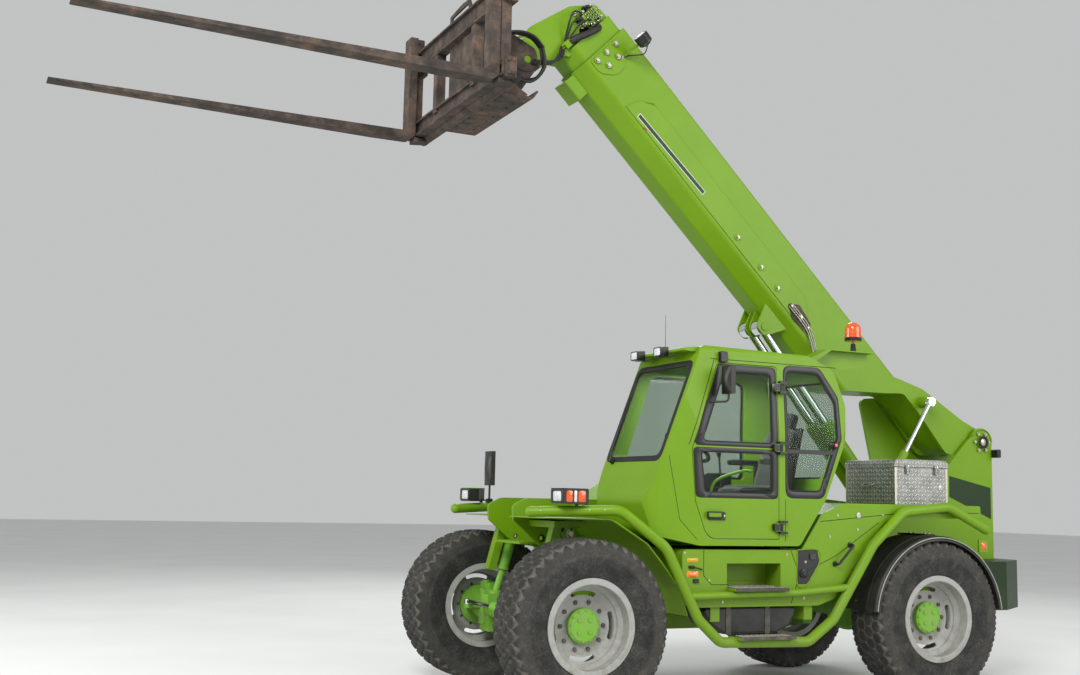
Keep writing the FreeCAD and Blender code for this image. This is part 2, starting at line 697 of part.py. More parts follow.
def engine_hood():
    """Hollow pod over the engine with a louvred side."""
    right = plate_spans()[0]
    sheet = 30
    outer_points = from_front([
        (-795, BODY_TOP, 40), (-795, 1000, 40), (-935, BODY_BOTTOM, 40),
    ]) + [
        (1180, BODY_BOTTOM, 40), (1020, 810, 40), (640, 1300, 40), (470, 1440, 40), (-540, 1470, 20),
        (-540, SHELF_Z, 20), (300, 1640, 80), (1000, 1800, 100),
    ] + from_front([(-1335, 1760, 120), (-855, 1480, 120)])
    inner_points = from_front([(-835, 1150, 40), (-835, 1020, 40), (-965, 700, 40)]) + [
        (1200, 700, 40), (1060, 840, 40), (700, 1320, 40), (520, 1500, 40), (400, 1560, 20), (1000, 1750, 60),
    ] + from_front([(-1355, 1710, 100), (-895, 1450, 100)])
    outer = prism("y", (-BODY_SIDE, right[0] - SEAT_GAP), outer_points)
    inner = prism("y", (-BODY_SIDE + sheet, right[0] - sheet), inner_points)
    slots = []
    for i in range(HOOD_SLOTS):
        z = 1130 + i * 70
        slots.append(box((BEAM_XS[0] + 30, BEAM_XS[1] - 40), (-BODY_SIDE - 45, -BODY_SIDE + 45), (z, z + 36)))
    return outer.cut(fuse([inner] + slots))


def engine_block():
    """Plain block of the engine's size on two feet, inside the closed pod."""
    low = BODY_BOTTOM
    block = box((BEAM_XS[0], BEAM_XS[1] + BEAM_WIDTH), (-1000, -480), (low + 60, 1420))
    feet = [box((x, x + BEAM_WIDTH), (-900, -560), (low, low + 70)) for x in BEAM_XS]
    return fuse([block] + feet)


def tool_box():
    """Closed box on the shelf behind the cab, with rounded ends, a lid and its two latches."""
    z = SHELF_Z + SEAT_GAP
    low, high = TOOL_BOX_X
    body = prism("y", TOOL_BOX_Y, [
        (low, z, 10), (high, z, 10), (high, z + TOOL_BOX_HEIGHT, 40), (low, z + TOOL_BOX_HEIGHT, 40)])
    lid = prism("y", (TOOL_BOX_Y[0] - 6, TOOL_BOX_Y[1] + 6), [
        (low - 6, z + TOOL_BOX_HEIGHT - 60), (high + 6, z + TOOL_BOX_HEIGHT - 60),
        (high + 6, z + TOOL_BOX_HEIGHT + 6, 44), (low - 6, z + TOOL_BOX_HEIGHT + 6, 44)])
    latches = [box((x, x + 40), (TOOL_BOX_Y[1] - 1, TOOL_BOX_Y[1] + 18),
                   (z + TOOL_BOX_HEIGHT - 120, z + TOOL_BOX_HEIGHT - 40)) for x in (low + 110, high - 150)]
    return fuse([body, lid] + latches)


# Cab

CAB_PROFILE = [
    (-1860, CAB_FLOOR, 60), (-935, CAB_FLOOR, 100), (-545, 1300, 120), (-490, 1560, 140), (-605, 1840, 120),
    (-965, 2771, 70), (-1986, 2750, 90), (-2225, 2640, 90), (-2330, 2360, 200), (-2321, 2080, 120),
    (-2117, 1592, 60),
]


CAB_PLAN = [
    (-2375, CAB_RIGHT, 90), (-490, CAB_RIGHT + 60, CAB_CORNER), (-490, CAB_LEFT - 60, CAB_CORNER),
    (-935, CAB_LEFT, 300), (-2375, CAB_LEFT, 90),
]
CAB_FRONT = [
    (CAB_RIGHT, 1150, 60), (CAB_LEFT, 1150, 60), (CAB_LEFT, 2100, 400), (CAB_LEFT - 45, 2790, 80),
    (CAB_RIGHT + 20, 2790, 80), (CAB_RIGHT, 2100, 400),
]


def cab_form(inset):
    """Solid of the cab's outside, drawn in by a distance on all sides."""
    side = prism("y", (CAB_RIGHT - 50, CAB_LEFT + 50), drawn_in(CAB_PROFILE, inset))
    plan = prism("z", (1100, 2900), drawn_in(CAB_PLAN, inset))
    front = prism("x", CAB_SPAN, drawn_in(CAB_FRONT, inset))
    return side.common(plan).common(front)


DOOR_OUTLINE = [
    (HINGE_X, 1275, 10), (-995, 1275, 120), (-890, 1560, 120), (-860, 1960, 120), (-1100, 2640, 60),
    (HINGE_X, 2640, 20),
]
DOOR_GLASS_TOP = [(-1603, 2010, 20), (-935, 2010, 30), (-1155, 2580, 40), (-1603, 2580, 20)]
DOOR_GLASS_LOW = [(-1603, 1620, 20), (-965, 1620, 60), (-925, 1950, 20), (-1603, 1950, 20)]
REAR_SIDE_GLASS = [
    (-1735, 1640, 20), (-1735, 2620, 20), (-2065, 2620, 60), (-2235, 2380, 100), (-2245, 2090, 60),
    (-2065, 1640, 30),
]
RIGHT_GLASS = [(-1985, 1750, 40), (-755, 1780, 60), (-1035, 2590, 60), (-1985, 2590, 60)]


def window(points, side_left, inset=0):
    """Cutter for a side window, through one side wall of the cab."""
    y = (CAB_LEFT - 150, CAB_LEFT + 60) if side_left else (CAB_RIGHT - 60, CAB_RIGHT + 120)
    return prism("y", y, drawn_in(points, inset))


def end_window(x, y, z, inset=0):
    points = [(y[0], z[0], 50), (y[1], z[0], 50), (y[1], z[1], 50), (y[0], z[1], 50)]
    return prism("x", x, drawn_in(points, inset))


def cab_body():
    """Hollow cab and the cutters for the door's hole and every window."""
    hollow = cab_form(0).cut(cab_form(CAB_WALL))
    holes = [
        window(DOOR_OUTLINE, True), window(REAR_SIDE_GLASS, True), window(RIGHT_GLASS, False),
        end_window(WINDSCREEN_X, WINDSCREEN_Y, WINDSCREEN_Z),
        end_window(REAR_GLASS_X, REAR_GLASS_Y, REAR_GLASS_Z),
    ]
    return hollow, holes


def cab_shell():
    hollow, holes = cab_body()
    for hole in holes:
        hollow = hollow.cut(hole)
    hollow = hollow.cut(box(CAB_SPAN, (0, 1300), (CAB_ROOF_JOINT - SEAT_GAP, 2900)))
    return fuse([hollow] + hinge_ears())


def hinge_ears():
    """Ears above and below each door hinge, with its pin."""
    ears = []
    for z in HINGE_ZS:
        low, high = z - 20, z + HINGE_HEIGHT + 20
        ears.append(rod((HINGE_X, HINGE_Y, low), (HINGE_X, HINGE_Y, high), HINGE_PIN_RADIUS))
        for span in ((low, z - RUNNING_GAP), (z + HINGE_HEIGHT + RUNNING_GAP, high)):
            ears.append(box((HINGE_X - 60, HINGE_X + 10), (CAB_LEFT + 4, HINGE_Y + 8), span))
            ears.append(box((HINGE_X - 60, HINGE_X - 10), (CAB_LEFT - 46, CAB_LEFT + 5), span))
    return ears


def cab_roof():
    """Cap of the cab with its visor and the shelf that carries the beacon."""
    shell = cab_form(0).cut(cab_form(CAB_WALL))
    cap = shell.common(box(CAB_SPAN, (0, 1300), (CAB_ROOF_JOINT, 2900)))
    visor = prism("y", (CAB_RIGHT + 60, CAB_LEFT - 90), [
        (-1035, 2715), (-1035, 2765), (-835, 2745, 12), (-835, 2722, 8)])
    shelf = prism("y", (820, 980), [
        (-2275, BRACKET_Z), (-2750, BRACKET_Z), (-2750, BRACKET_Z - 8), (-2305, BRACKET_Z - 8), (-2085, 2690),
        (-2045, 2728)])
    web = prism("y", (896, 904), [
        (-2288, BRACKET_Z - 4), (-2745, BRACKET_Z - 4), (-2716, 2725, 20), (-2463, 2680, 20), (-2115, 2680),
        (-2055, 2715)])
    return fuse([cap, visor, shelf, web])


def glass_sheet():
    return cab_form(GLASS_INSET).cut(cab_form(GLASS_INSET + GLASS_SHEET))


def cab_glass():
    sheet = glass_sheet()
    panes = [
        sheet.common(window(REAR_SIDE_GLASS, True, SEAT_GAP)),
        sheet.common(window(RIGHT_GLASS, False, SEAT_GAP)),
        sheet.common(end_window(WINDSCREEN_X, WINDSCREEN_Y, WINDSCREEN_Z, SEAT_GAP)),
        sheet.common(end_window(REAR_GLASS_X, REAR_GLASS_Y, REAR_GLASS_Z, SEAT_GAP)),
    ]
    return Part.makeCompound([solid for pane in panes for solid in pane.Solids])


def cab_door():
    """Door leaf with both window holes, its hinge eyes and handle."""
    hollow = cab_form(0).cut(cab_form(CAB_WALL))
    leaf = hollow.common(window(DOOR_OUTLINE, True, DOOR_GAP))
    for points in (DOOR_GLASS_TOP, DOOR_GLASS_LOW):
        leaf = leaf.cut(window(points, True))
    pieces = [leaf]
    for z in HINGE_ZS:
        pieces.append(rod((HINGE_X, HINGE_Y, z), (HINGE_X, HINGE_Y, z + HINGE_HEIGHT), HINGE_RADIUS))
        pieces.append(box((HINGE_X, HINGE_X + 50), (CAB_LEFT - 46, HINGE_Y + 8), (z, z + HINGE_HEIGHT)))
    handle = box((-1125, -985), (CAB_LEFT - 20, CAB_LEFT + 22), (1440, 1480))
    body = fuse(pieces + [handle])
    return body.cut(rod((HINGE_X, HINGE_Y, 1200), (HINGE_X, HINGE_Y, 2700), HINGE_PIN_RADIUS + PIN_PLAY))


def door_glass():
    sheet = glass_sheet()
    panes = [sheet.common(window(points, True, SEAT_GAP))
             for points in (DOOR_GLASS_TOP, DOOR_GLASS_LOW)]
    return Part.makeCompound([solid for pane in panes for solid in pane.Solids])


def seat_base():
    floor = CAB_FLOOR + CAB_WALL + SEAT_GAP
    return prism("y", (450, 820), [
        (-1785, floor), (-1855, SEAT_Z, 30), (-1555, SEAT_Z, 30), (-1495, floor)])


def seat():
    return prism("y", (400, 870), [
        (-1995, SEAT_Z + SEAT_GAP, 40), (-2165, 2330, 45), (-2055, 2360, 45), (-1880, 1710, 50),
        (-1495, 1700, 60), (-1495, SEAT_Z + SEAT_GAP, 40)])


def controls():
    """Dash, steering column and wheel."""
    floor = CAB_FLOOR + CAB_WALL + SEAT_GAP
    dash = prism("y", (330, 940), [
        (-945, floor), (-685, 1440, 60), (-685, 1760, 40), (-835, 1830, 60),
        (-1015, 1800, 40), (-1075, floor)])
    wheel_x, wheel_y, wheel_z = STEERING_WHEEL
    column = rod((-935, wheel_y, 1700), STEERING_WHEEL, 30)
    ring = Part.makeTorus(STEERING_WHEEL_RADIUS, 16)
    ring.rotate(Vector(0, 0, 0), Vector(0, 1, 0), -33)
    ring.translate(Vector(*STEERING_WHEEL))
    reach = STEERING_WHEEL_RADIUS - 10
    spokes = rod((wheel_x, wheel_y - reach, wheel_z), (wheel_x, wheel_y + reach, wheel_z), 11)
    return fuse([dash, column, ring, spokes])


# Lamps and mirrors

def lamps():
    """Wedge-shaped lamp housings on the feet above both nose tubes."""
    pieces = []
    x = FRONT_AXLE_X + 15
    y, z = front_run(x)
    for side in (-1, 1):
        foot = box((x - 10, x + 10), sorted((side * (y - 12), side * (y + 12))), (z + RING_RADIUS + 1, z + 60))
        housing = prism("z", (z + 55, z + 160), [
            (x + 160, side * (y - 110), 12), (x + 150, side * (y + 90), 12), (x - 50, side * (y + 90), 12),
            (x - 50, side * (y + 45), 12), (x + 70, side * (y - 110), 30)])
        pieces.append(fuse([foot, housing]))
    return Part.makeCompound(pieces)


def roof_lamps():
    """Two work lamps over the windscreen."""
    pieces = []
    for y in (330, 700):
        pieces.append(prism("y", (y, y + 110), [
            (-835 + SEAT_GAP, 2690, 6), (-835 + SEAT_GAP, 2770, 6), (-765, 2765, 14), (-765, 2695, 14)]))
    return Part.makeCompound(pieces)


def beacon():
    x, y = BEACON
    base = BRACKET_Z + SEAT_GAP
    return fuse([rod((x, y, base), (x, y, base + 100), 14), rod((x, y, base + 95), (x, y, base + 125), 62),
                 rod((x, y, base + 120), (x, y, base + 200), 68), Part.makeSphere(68, Vector(x, y, base + 190))])


def door_mirror():
    """Mirror on an arm over the door's front edge."""
    x, y = -1120, CAB_LEFT + 100
    head = box((x - 20, x + 20), (y - 66, y + 66), (2385, 2605))
    arm = bent_tube([(-1023, CAB_LEFT - 9, 2325, 0), (x, y, 2325, 30), (x, y, 2400, 0)], 9)
    return fuse([head, arm])


def nose_mirror():
    """Mirror on a stalk at the right front corner of the ring tube."""
    x = FRONT_AXLE_X - 85
    y, z = front_run(x)
    return fuse([rod((x, -y, z + RING_RADIUS + 1), (x, -y, 1750), 9),
                 box((x - 18, x + 18), (-y - 75, -y + 75), (1660, 1960))])


# Boom

def boom_section(half, top, fold, bottom, bottom_half):
    y = BOOM_Y
    return [
        (y - half, top, 30), (y - half, fold, 60), (y - bottom_half, bottom, 40),
        (y + bottom_half, bottom, 40), (y + half, fold, 60), (y + half, top, 30),
    ]


def pivot_arms():
    """Two arms from the boom's box to its pivot, a cross tube and the web between them."""
    arms = []
    for side in (-1, 1):
        y = sorted((BOOM_Y + side * BOOM_HALF_WIDTH, BOOM_Y + side * (BOOM_HALF_WIDTH - ARM_PLATE)))
        arms.append(prism("y", y, [
            (-90, -60), (0, 118), (280, 10, 200), (820, -130, 60), (BOOM_BOX_START + 160, -292),
            (BOOM_BOX_START + 160, -480), (BOOM_BOX_START - 20, -330, 60), (690, -330, 80),
            (190, -370, 120)]))
        arms.append(rod((0, y[0], 0), (0, y[1], 0), PIVOT_BOSS_RADIUS))
    inside = (BOOM_Y - BOOM_HALF_WIDTH + 2, BOOM_Y + BOOM_HALF_WIDTH - 2)
    arms.append(rod((0, inside[0], 0), (0, inside[1], 0), 72))
    arms.append(box((250, BOOM_BOX_START + 30), inside, (-326, -306)))
    return arms


def side_plates():
    """Stiffening plate along each flank of the fixed section, with its round covers."""
    pieces = []
    for side in (-1, 1):
        face = BOOM_Y + side * BOOM_HALF_WIDTH
        pieces.append(prism("y", sorted((face - side, face + side * SIDE_PLATE)), [
            (2000, BOOM_FOLD + 30), (2064, BOOM_FOLD + 40, 20), (2254, -592, 60), (2350, -540, 60),
            (4560, -540, 60), (4700, -640, 60), (4740, BOOM_FOLD + 30)]))
        for s in COVER_PLACES:
            pieces.append(rod((s, face, COVER_N), (s, face + side * (SIDE_PLATE + 8), COVER_N), 30))
    return pieces


def lamp_arm():
    """Arm of the boom's work lamp on the left flank, with the lamp's round body."""
    face = BOOM_Y + BOOM_HALF_WIDTH
    s, n = BOOM_LAMP
    arm = prism("x", (s - 12, s + 12), [
        (face - 1, n - 90), (face - 1, n - 150), (face + 60, n - 120, 20), (face + 200, n - 12, 10),
        (face + 200, n + 12, 10), (face + 160, n + 12, 20)])
    lamp = rod((s - 30, face + 190, n), (s + 45, face + 190, n), 62)
    return [arm, lamp]


def boom_outer():
    """Fixed boom section: box with a folded bottom, pivot arms, cylinder lugs and side plates."""
    wall = BOOM_WALL
    section = boom_section(BOOM_HALF_WIDTH, BOOM_TOP, BOOM_FOLD, BOOM_BOTTOM, BOOM_BOTTOM_HALF_WIDTH)
    outside = prism("x", (BOOM_BOX_START, BOOM_FRONT), section)
    hollow = prism("x", (BOOM_BOX_START + 60, BOOM_FRONT + 10), boom_section(
        BOOM_HALF_WIDTH - wall, BOOM_TOP - wall, BOOM_FOLD + wall / 2, BOOM_BOTTOM + wall,
        BOOM_BOTTOM_HALF_WIDTH - wall / 2))
    keep = prism("y", (BOOM_Y - 400, BOOM_Y + 400), [
        (BOOM_BOX_START, -200), (BOOM_BOX_START, -340), (1080, -470), (1620, -1000), (BOOM_FRONT, -1000),
        (BOOM_FRONT, -200)])
    hollow_keep = prism("y", (BOOM_Y - 400, BOOM_Y + 400), [
        (BOOM_BOX_START + 60, -200), (BOOM_BOX_START + 60, -400), (1130, -470), (1660, -1000),
        (BOOM_FRONT + 20, -1000), (BOOM_FRONT + 20, -200)])
    tube = outside.common(keep)
    for side in (-1, 1):
        for cheek in lift_lugs(side):
            tube = tube.fuse(cheek)
    tube = tube.cut(hollow.common(hollow_keep))
    pieces = [tube] + pivot_arms() + side_plates() + wear_pads() + lamp_arm()
    level_s, level_n = level_eye()
    level_face = LEVEL_Y - LEVEL_EYE_HALF - EYE_CLEARANCE
    pieces.append(rod((level_s, BOOM_Y + BOOM_HALF_WIDTH - 8, level_n), (level_s, level_face, level_n), 52))
    body = fuse(pieces)
    body = body.cut(rod((0, BOOM_Y - 300, 0), (0, BOOM_Y + 300, 0), PIVOT_PIN_RADIUS))
    for side in (-1, 1):
        y = BOOM_Y + side * LIFT_SPREAD
        body = body.fuse(rod((LUG_S, y - 78, LUG_N), (LUG_S, y + 78, LUG_N), LIFT_PIN_RADIUS - PIN_PLAY))
    return on_boom(body)


def lift_lugs(side):
    """Two cheeks each side of one lift cylinder's eye, under the boom."""
    y = BOOM_Y + side * LIFT_SPREAD
    cheeks = []
    for offset in (-68, 50):
        cheeks.append(prism("y", (y + offset, y + offset + 18), [
            (LUG_S - 190, -840), (LUG_S - 60, LUG_N - 60, 55), (LUG_S + 60, LUG_N - 60, 55),
            (LUG_S + 150, -840)]))
    return cheeks


def wear_pads():
    """Pads, bolted plates and the lower housing at the mouth of the outer section."""
    s = (BOOM_FRONT - 260, BOOM_FRONT - 10)
    gap = SLIDE_GAP - SEAT_GAP
    inner_top = BOOM_TOP - SLIDE_GAP
    inner_bottom = BOOM_BOTTOM + SLIDE_GAP
    pads = [box(s, (BOOM_Y - 120, BOOM_Y + 120), (inner_top + SEAT_GAP, BOOM_TOP - 5)),
            box(s, (BOOM_Y - 70, BOOM_Y + 70), (BOOM_BOTTOM + 5, inner_bottom - SEAT_GAP))]
    pads.append(prism("x", (BOOM_FRONT - 215, BOOM_FRONT - 15), [
        (BOOM_Y - 105, BOOM_BOTTOM + 5), (BOOM_Y - 105, BOOM_BOTTOM - 105, 15),
        (BOOM_Y + 105, BOOM_BOTTOM - 105, 15), (BOOM_Y + 105, BOOM_BOTTOM + 5)]))
    pads.append(box((BOOM_FRONT - 190, BOOM_FRONT - 10), (BOOM_Y - 170, BOOM_Y + 170),
                    (BOOM_TOP - 1, BOOM_TOP + 22)))
    for side in (-1, 1):
        face = BOOM_Y + side * BOOM_HALF_WIDTH
        pads.append(box(s, sorted((face - side * 5, BOOM_Y + side * (BOOM_HALF_WIDTH - gap))), (-620, -400)))
        plate = prism("y", sorted((face - side, face + side * SIDE_PLATE)), [
            (BOOM_FRONT - 20, -430, 20), (BOOM_FRONT - 20, -780, 20), (BOOM_FRONT - 150, -780, 100),
            (BOOM_FRONT - 320, -600, 150), (BOOM_FRONT - 150, -430, 100)])
        pads.append(plate)
        for ds, n in ((55, -480), (55, -605), (55, -730), (150, -540), (150, -670)):
            pads.append(rod((BOOM_FRONT - ds, face, n), (BOOM_FRONT - ds, face + side * 24, n), 16))
    return pads


def level_eye():
    """Boom end of the levelling cylinder, along S and N."""
    return 745, -235


def valve_block():
    """Valve block with its ports on the left cheek of the head, and the hose block below it."""
    face = BOOM_Y + HEAD_HALF_WIDTH
    pieces = [box((5470, 5570), (face - 1, face + 60), (-560, -400)),
              box((5440, 5500), (face - 1, face + 45), (-860, -800))]
    for s in (5490, 5520, 5550):
        for n in (-440, -480, -520):
            pieces.append(rod((s, face + 58, n), (s, face + 78, n), 9))
    for s in (5490, 5550):
        pieces.append(rod((s, face + 30, -558), (s, face + 30, -588), 11))
    return pieces


def boom_inner():
    """Sliding boom section with the tilt cylinder's head, its valve block and the tool's pin."""
    gap = SLIDE_GAP
    wall = INNER_WALL
    outside = boom_section(BOOM_HALF_WIDTH - gap, BOOM_TOP - gap, BOOM_FOLD + gap / 2,
                           BOOM_BOTTOM + gap, BOOM_BOTTOM_HALF_WIDTH - gap / 2)
    inside = boom_section(BOOM_HALF_WIDTH - gap - wall, BOOM_TOP - gap - wall,
                          BOOM_FOLD + gap / 2 + wall / 2, BOOM_BOTTOM + gap + wall,
                          BOOM_BOTTOM_HALF_WIDTH - gap / 2 - wall / 2)
    start = INNER_START + 450
    tube = prism("x", (start, INNER_FRONT), outside).cut(prism("x", (start - 5, INNER_FRONT - 30), inside))
    half = HEAD_HALF_WIDTH
    solid = prism("y", (BOOM_Y - half, BOOM_Y + half), HEAD_OUTLINE)
    core = prism("y", (BOOM_Y - half + HEAD_PLATE, BOOM_Y + half - HEAD_PLATE), [
        (INNER_FRONT + 30, -420, 40), (5560, -440, 60), (5640, -620, 60), (TILT_S + 300, -760), (TILT_S + 300, -1500),
        (INNER_FRONT - 20, -1500), (INNER_FRONT + 60, -1000)])
    slot = prism("y", (BOOM_Y - half - 1, BOOM_Y + half + 1), [
        (INNER_FRONT + 25, -470, 25), (INNER_FRONT + 75, -470, 25), (INNER_FRONT + 75, -640, 25),
        (INNER_FRONT + 25, -640, 25)])
    head = solid.cut(core).cut(slot)
    pin = rod((TILT_S, BOOM_Y - half - 45, TILT_N), (TILT_S, BOOM_Y + half + 45, TILT_N),
              TILT_PIN_RADIUS - PIN_PLAY)
    tilt_top = rod((TILT_TOP[0], BOOM_Y - half - 12, TILT_TOP[1]),
                   (TILT_TOP[0], BOOM_Y + half + 12, TILT_TOP[1]), 26 - PIN_PLAY)
    return on_boom(fuse([tube, head, pin, tilt_top] + valve_block()))


def pin_eye(point, y, half, radius, bore):
    """Eye and the cutter for its bore. An eye whose own pin sits in it has a bore of 0."""
    eye = rod((point[0], y - half, point[1]), (point[0], y + half, point[1]), radius)
    return eye, rod((point[0], y - half - 5, point[1]), (point[0], y + half + 5, point[1]), bore or 1)


def along(start, end, distance):
    length = math.hypot(end[0] - start[0], end[1] - start[1])
    return (start[0] + (end[0] - start[0]) * distance / length,
            start[1] + (end[1] - start[1]) * distance / length)


def cylinder_barrel(start, end, y, eye_half, sizes):
    """Barrel with its eye at start, open towards end. sizes is a row of CYLINDERS."""
    eye, bore = pin_eye(start, y, eye_half, sizes["eye"], sizes["pin"])
    near = along(start, end, sizes["eye"] * 0.6)
    mouth = along(start, end, sizes["barrel_length"])
    pocket = along(start, end, sizes["eye"] + 30)
    body = fuse([eye, rod((near[0], y, near[1]), (mouth[0], y, mouth[1]), sizes["barrel"])])
    hole = rod((pocket[0], y, pocket[1]), (mouth[0], y, mouth[1]), sizes["rod"] + PIN_PLAY)
    body = body.cut(hole)
    return body.cut(bore) if sizes["pin"] else body


def cylinder_rod(start, end, y, eye_half, sizes):
    """Rod with its eye at end, reaching back into the barrel."""
    eye, bore = pin_eye(end, y, eye_half, sizes["rod_eye"], sizes["rod_pin"])
    back = along(start, end, sizes["rod_start"])
    near = along(end, start, sizes["rod_eye"] * 0.6)
    body = fuse([eye, rod((back[0], y, back[1]), (near[0], y, near[1]), sizes["rod"])])
    return body.cut(bore) if sizes["rod_pin"] else body


CYLINDERS = {
    "lift": {"barrel": 72, "rod": 45, "eye": 78, "pin": 0, "rod_eye": 70,
             "rod_pin": LIFT_PIN_RADIUS, "barrel_length": 1640, "rod_start": 1180},
    "level": {"barrel": 38, "rod": 22, "eye": 44, "pin": LEVEL_PIN_RADIUS, "rod_eye": 42,
              "rod_pin": 0, "barrel_length": 860, "rod_start": 600},
    "tilt": {"barrel": 50, "rod": 28, "eye": 46, "pin": 26, "rod_eye": 42, "rod_pin": 0,
             "barrel_length": 440, "rod_start": 300},
}


def lift_ends():
    return LIFT_PIN, boom_point(LUG_S, LUG_N)


def lift_barrels():
    """Both barrels on one cross shaft that fills the space between the chassis plates."""
    start, end = lift_ends()
    pieces = [cylinder_barrel(start, end, BOOM_Y + side * LIFT_SPREAD, 40, CYLINDERS["lift"])
              for side in (-1, 1)]
    half = BOOM_HALF_WIDTH + PLATE_GAP - EYE_CLEARANCE
    pieces.append(rod((start[0], BOOM_Y - half, start[1]), (start[0], BOOM_Y + half, start[1]), 50))
    return fuse(pieces)


def lift_rods():
    start, end = lift_ends()
    pieces = [cylinder_rod(start, end, BOOM_Y + side * LIFT_SPREAD, 44, CYLINDERS["lift"])
              for side in (-1, 1)]
    return Part.makeCompound(pieces)


def level_ends():
    return LEVEL_PIN, boom_point(*level_eye())


def level_barrel():
    return cylinder_barrel(*level_ends(), LEVEL_Y, 32, CYLINDERS["level"])


def level_rod():
    return cylinder_rod(*level_ends(), LEVEL_Y, LEVEL_EYE_HALF, CYLINDERS["level"])


def tilt_ends():
    return boom_point(*TILT_TOP), boom_point(*TILT_LEVER)


def tilt_barrel():
    return cylinder_barrel(*tilt_ends(), BOOM_Y, 40, CYLINDERS["tilt"])


def tilt_rod():
    return cylinder_rod(*tilt_ends(), BOOM_Y, 30, CYLINDERS["tilt"])


# Tool: carriage and forks, drawn where they are parked

def channel_beam(y, low, high):
    """Beam across the carriage whose front is recessed between two flanges."""
    front = FORK_HEEL_X - SHANK_THICKNESS
    beam = box((front - 90, front), y, (low, high))
    return [beam.cut(box((front - 30, front + 1), (y[0] + 14, y[1] - 14), (low + 16, high - 16)))]


def carriage_trim(back, low, half):
    """Stop blocks at the beams' ends, the cross tube behind the lower beam and the hose guide on top."""
    pieces = []
    for side in (-1, 1):
        y = BOOM_Y + side * half
        for z in ((low - 55, low + 105), (low + 545, low + 745)):
            pieces.append(box((back - 115, back - 20), sorted((y - side * 150, y + side * 12)), z))
    tube = (BOOM_Y - half + 60, BOOM_Y + half - 60)
    pieces.append(rod((back - 130, tube[0], low - 30), (back - 130, tube[1], low - 30), 48))
    guide = prism("x", (back - 60, back - 44), [
        (-345, low + 725), (-345, low + 835, 20), (-60, low + 860, 20), (80, low + 850, 20), (160, low + 725)])
    hole = prism("x", (back - 61, back - 43), [
        (-300, low + 765, 15), (-300, low + 810, 15), (50, low + 820, 15), (80, low + 765, 15)])
    pieces.append(guide.cut(hole))
    return pieces


def carriage():
    """Tool carriage: two channel beams, uprights, pin cheeks, the deck under them and its lip."""
    pin_x, pin_z = boom_point(TILT_S, TILT_N)
    lever_x, lever_z = boom_point(*TILT_LEVER)
    back = FORK_HEEL_X - SHANK_THICKNESS
    half = CARRIAGE_HALF_WIDTH
    y = (BOOM_Y - half, BOOM_Y + half)
    low = FORK_TOP_Z
    pieces = channel_beam(y, low + 560, low + 730) + channel_beam(y, low - 40, low + 90)
    deck_y = (BOOM_Y - DECK_HALF_WIDTH, BOOM_Y + DECK_HALF_WIDTH)
    pieces.append(prism("y", deck_y, [
        (back - 60, low - 20), (back - 60, low - 40), (back - 470, low - 40, 30), (back - 520, low + 30, 6),
        (back - 506, low + 40, 6), (back - 462, low - 20, 14)]))
    for side in (-1, 1):
        inner = HEAD_HALF_WIDTH + 20
        span = sorted((BOOM_Y + side * inner, BOOM_Y + side * (inner + 30)))
        cheek = prism("y", span, [
            (back - 80, low + 720), (back - 80, low - 30), (back - 420, low - 30, 60),
            (pin_x - 90, pin_z - 60, 80), (pin_x - 80, pin_z + 90, 80), (pin_x + 150, low + 640, 100)])
        pieces.append(cheek.cut(rod((pin_x, -600, pin_z), (pin_x, 300, pin_z), TILT_PIN_RADIUS)))
    for offset in (-half + 40, -450, 390, half - 120):
        pieces.append(box((back - 85, back - 5), (BOOM_Y + offset, BOOM_Y + offset + 80),
                          (low + 50, low + 600)))
    for side in (-1, 1):
        span = sorted((BOOM_Y + side * 36, BOOM_Y + side * 58))
        pieces.append(prism("y", span, [
            (back - 80, lever_z + 90), (back - 80, lever_z - 90), (lever_x + 10, lever_z - 45, 30),
            (lever_x - 44, lever_z, 30), (lever_x + 10, lever_z + 45, 30)]))
        boss = sorted((BOOM_Y + side * 57, BOOM_Y + side * 70))
        pieces.append(rod((lever_x, boss[0], lever_z), (lever_x, boss[1], lever_z), 34))
    pieces.append(box((back - 100, back - 60), (BOOM_Y - 220, BOOM_Y + 220), (low + 60, low + 600)))
    return fuse(pieces + carriage_trim(back, low, half))


def forks():
    pieces = []
    low = FORK_TOP_Z
    back = FORK_HEEL_X - SHANK_THICKNESS + SEAT_GAP
    for side in (-1, 1):
        y = BOOM_Y + side * FORK_SPREAD
        profile = prism("y", (y - FORK_WIDTH / 2, y + FORK_WIDTH / 2), [
            (back, low + SHANK_HEIGHT), (FORK_HEEL_X, low + SHANK_HEIGHT), (FORK_HEEL_X, low, 20),
            (FORK_HEEL_X + FORK_LENGTH, low, 4), (FORK_HEEL_X + FORK_LENGTH, low - 12, 4),
            (FORK_HEEL_X + 300, low - 70, 200), (back, low - 70, 60)])
        pieces.append(profile)
    return Part.makeCompound(pieces)


def at_wheel(shape, x, left):
    """Puts a shape made about a left wheel centre on one corner."""
    shape = moved(shape, y=WHEEL_Y)
    if not left:
        shape = mirrored(shape)
    return moved(shape, x=x, z=AXLE_Z)


def at_kingpin(shape, x, left):
    shape = moved(shape, y=KINGPIN_Y)
    if not left:
        shape = mirrored(shape)
    return moved(shape, x=x, z=AXLE_Z)


